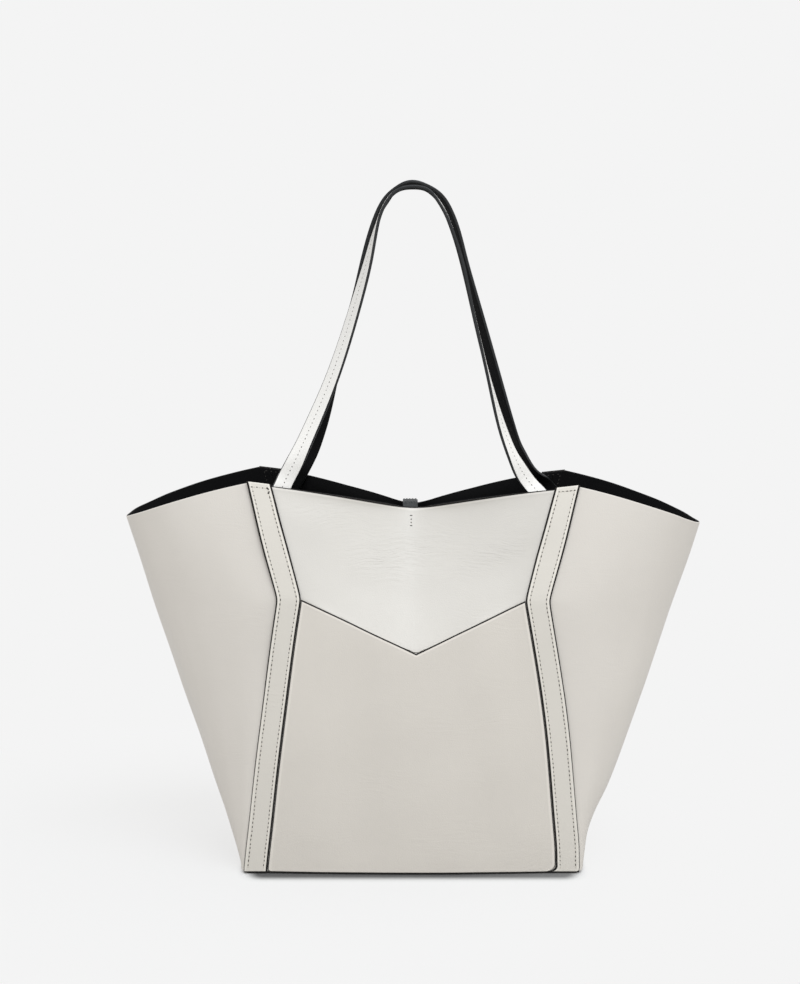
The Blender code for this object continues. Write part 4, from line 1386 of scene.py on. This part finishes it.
floor_material = bpy.data.materials.new("pale floor")
tree = bare_tree(floor_material)
place = object_place(tree)
beyond = vector_node(tree, "SUBTRACT", vector_node(tree, "ABSOLUTE", place), FOOTPRINT_HALF)
beyond = vector_node(tree, "MAXIMUM", beyond, (0.0, 0.0, 0.0))
gap = vector_node(tree, "LENGTH", beyond, output="Value")
far = vector_node(tree, "DISTANCE", place, SHADE_MIDDLE, output="Value")
from_camera = added(tree, "LightPath", "Is Camera Ray", {})
not_camera = math_node(tree, "SUBTRACT", 1.0, from_camera)
close_share, wide_share = faded(tree, gap, *CLOSE_FADE), faded(tree, far, *WIDE_FADE)
share_lit = math_node(tree, "ADD", close_share, wide_share, clamp=True)
share_lit = math_node(tree, "MAXIMUM", share_lit, not_camera)
# Close round the foot the floor's colour for the camera is darkened: a painted contact shadow.
painted_contact_shadow = math_node(tree, "MULTIPLY", faded(tree, gap, *PAINTED_SHADOW_FADE), from_camera)
hidden_tone = math_node(tree, "MULTIPLY", not_camera, FLOOR_BOUNCE)
floor_tone = math_node(tree, "MULTIPLY_ADD", painted_contact_shadow, FLOOR_SEEN, hidden_tone)
lit = added(tree, "BsdfDiffuse", "BSDF", {"Color": floor_tone})
plain = added(tree, "Emission", "Emission", {"Color": BACKGROUND})
mixed = added(tree, "MixShader", "Shader", {"Fac": share_lit, 1: plain, 2: lit})
feed(tree, mixed, tree.nodes.new("ShaderNodeOutputMaterial").inputs["Surface"])

corners = FLOOR_HALF * np.array([(-1, -1, 0), (1, -1, 0), (1, 1, 0), (-1, 1, 0)])
floor = linked("floor", corners + (0, 0, FLOOR_LOW), [[0, 1, 2, 3]], [floor_material])
floor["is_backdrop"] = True
print("floor is", 2 * FLOOR_HALF, "m wide")

# %% World and lamps
SURROUNDINGS = (0.885, 0.878, 0.862, 1.0)

world = bpy.data.worlds.new("soft surroundings")
bpy.context.scene.world = world
tree = bare_tree(world)
seen = 0.0
for ray in ("Is Camera Ray", "Is Transmission Ray", "Is Glossy Ray"):
    seen = math_node(tree, "MAXIMUM", seen, added(tree, "LightPath", ray, {}))
around = added(tree, "Background", "Background", {"Color": SURROUNDINGS})
behind = added(tree, "Background", "Background", {"Color": BACKGROUND})
pick = added(tree, "MixShader", "Shader", {"Fac": seen, 1: around, 2: behind})
feed(tree, pick, tree.nodes.new("ShaderNodeOutputWorld").inputs["Surface"])


def soft_lamp(name, place, size, power, colour=(1.0, 1.0, 1.0), aim=(0.0, 0.0, 0.2)):
    """A square lamp at a place, turned towards what it lights."""
    lamp = bpy.data.lights.new(name, "AREA")
    lamp.shape, lamp.size, lamp.energy, lamp.color = "SQUARE", size, power, colour
    item = bpy.data.objects.new(name, lamp)
    item.location = place
    x, y, z = unit(np.array(place) - np.array(aim))
    item.rotation_euler = (math.acos(z), 0.0, math.atan2(y, x) + math.pi / 2)
    bpy.context.scene.collection.objects.link(item)


soft_lamp("upper_lamp", (0.3, -1.0, 2.1), size=1.3, power=17.5, colour=(0.93, 1.0, 1.08))
soft_lamp("right_lamp", (1.8, -0.9, 0.9), size=1.2, power=1.5)
print("lamps:", [lamp.name for lamp in bpy.data.lights])

# %% [markdown]
# ## Settings and the size of what shows
#
# Colours are shown plainly, with no film curve. How far what shows has grown beyond the size of
# the solids is printed.

# %% Finish
bpy.context.scene.view_settings.view_transform = "Standard"
low, high = (tuple(corner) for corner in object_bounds())
grown_low, grown_high = np.array(cad_low) - low, np.array(high) - cad_high
print("grown by", np.round(grown_low, 4), "and", np.round(grown_high, 4))
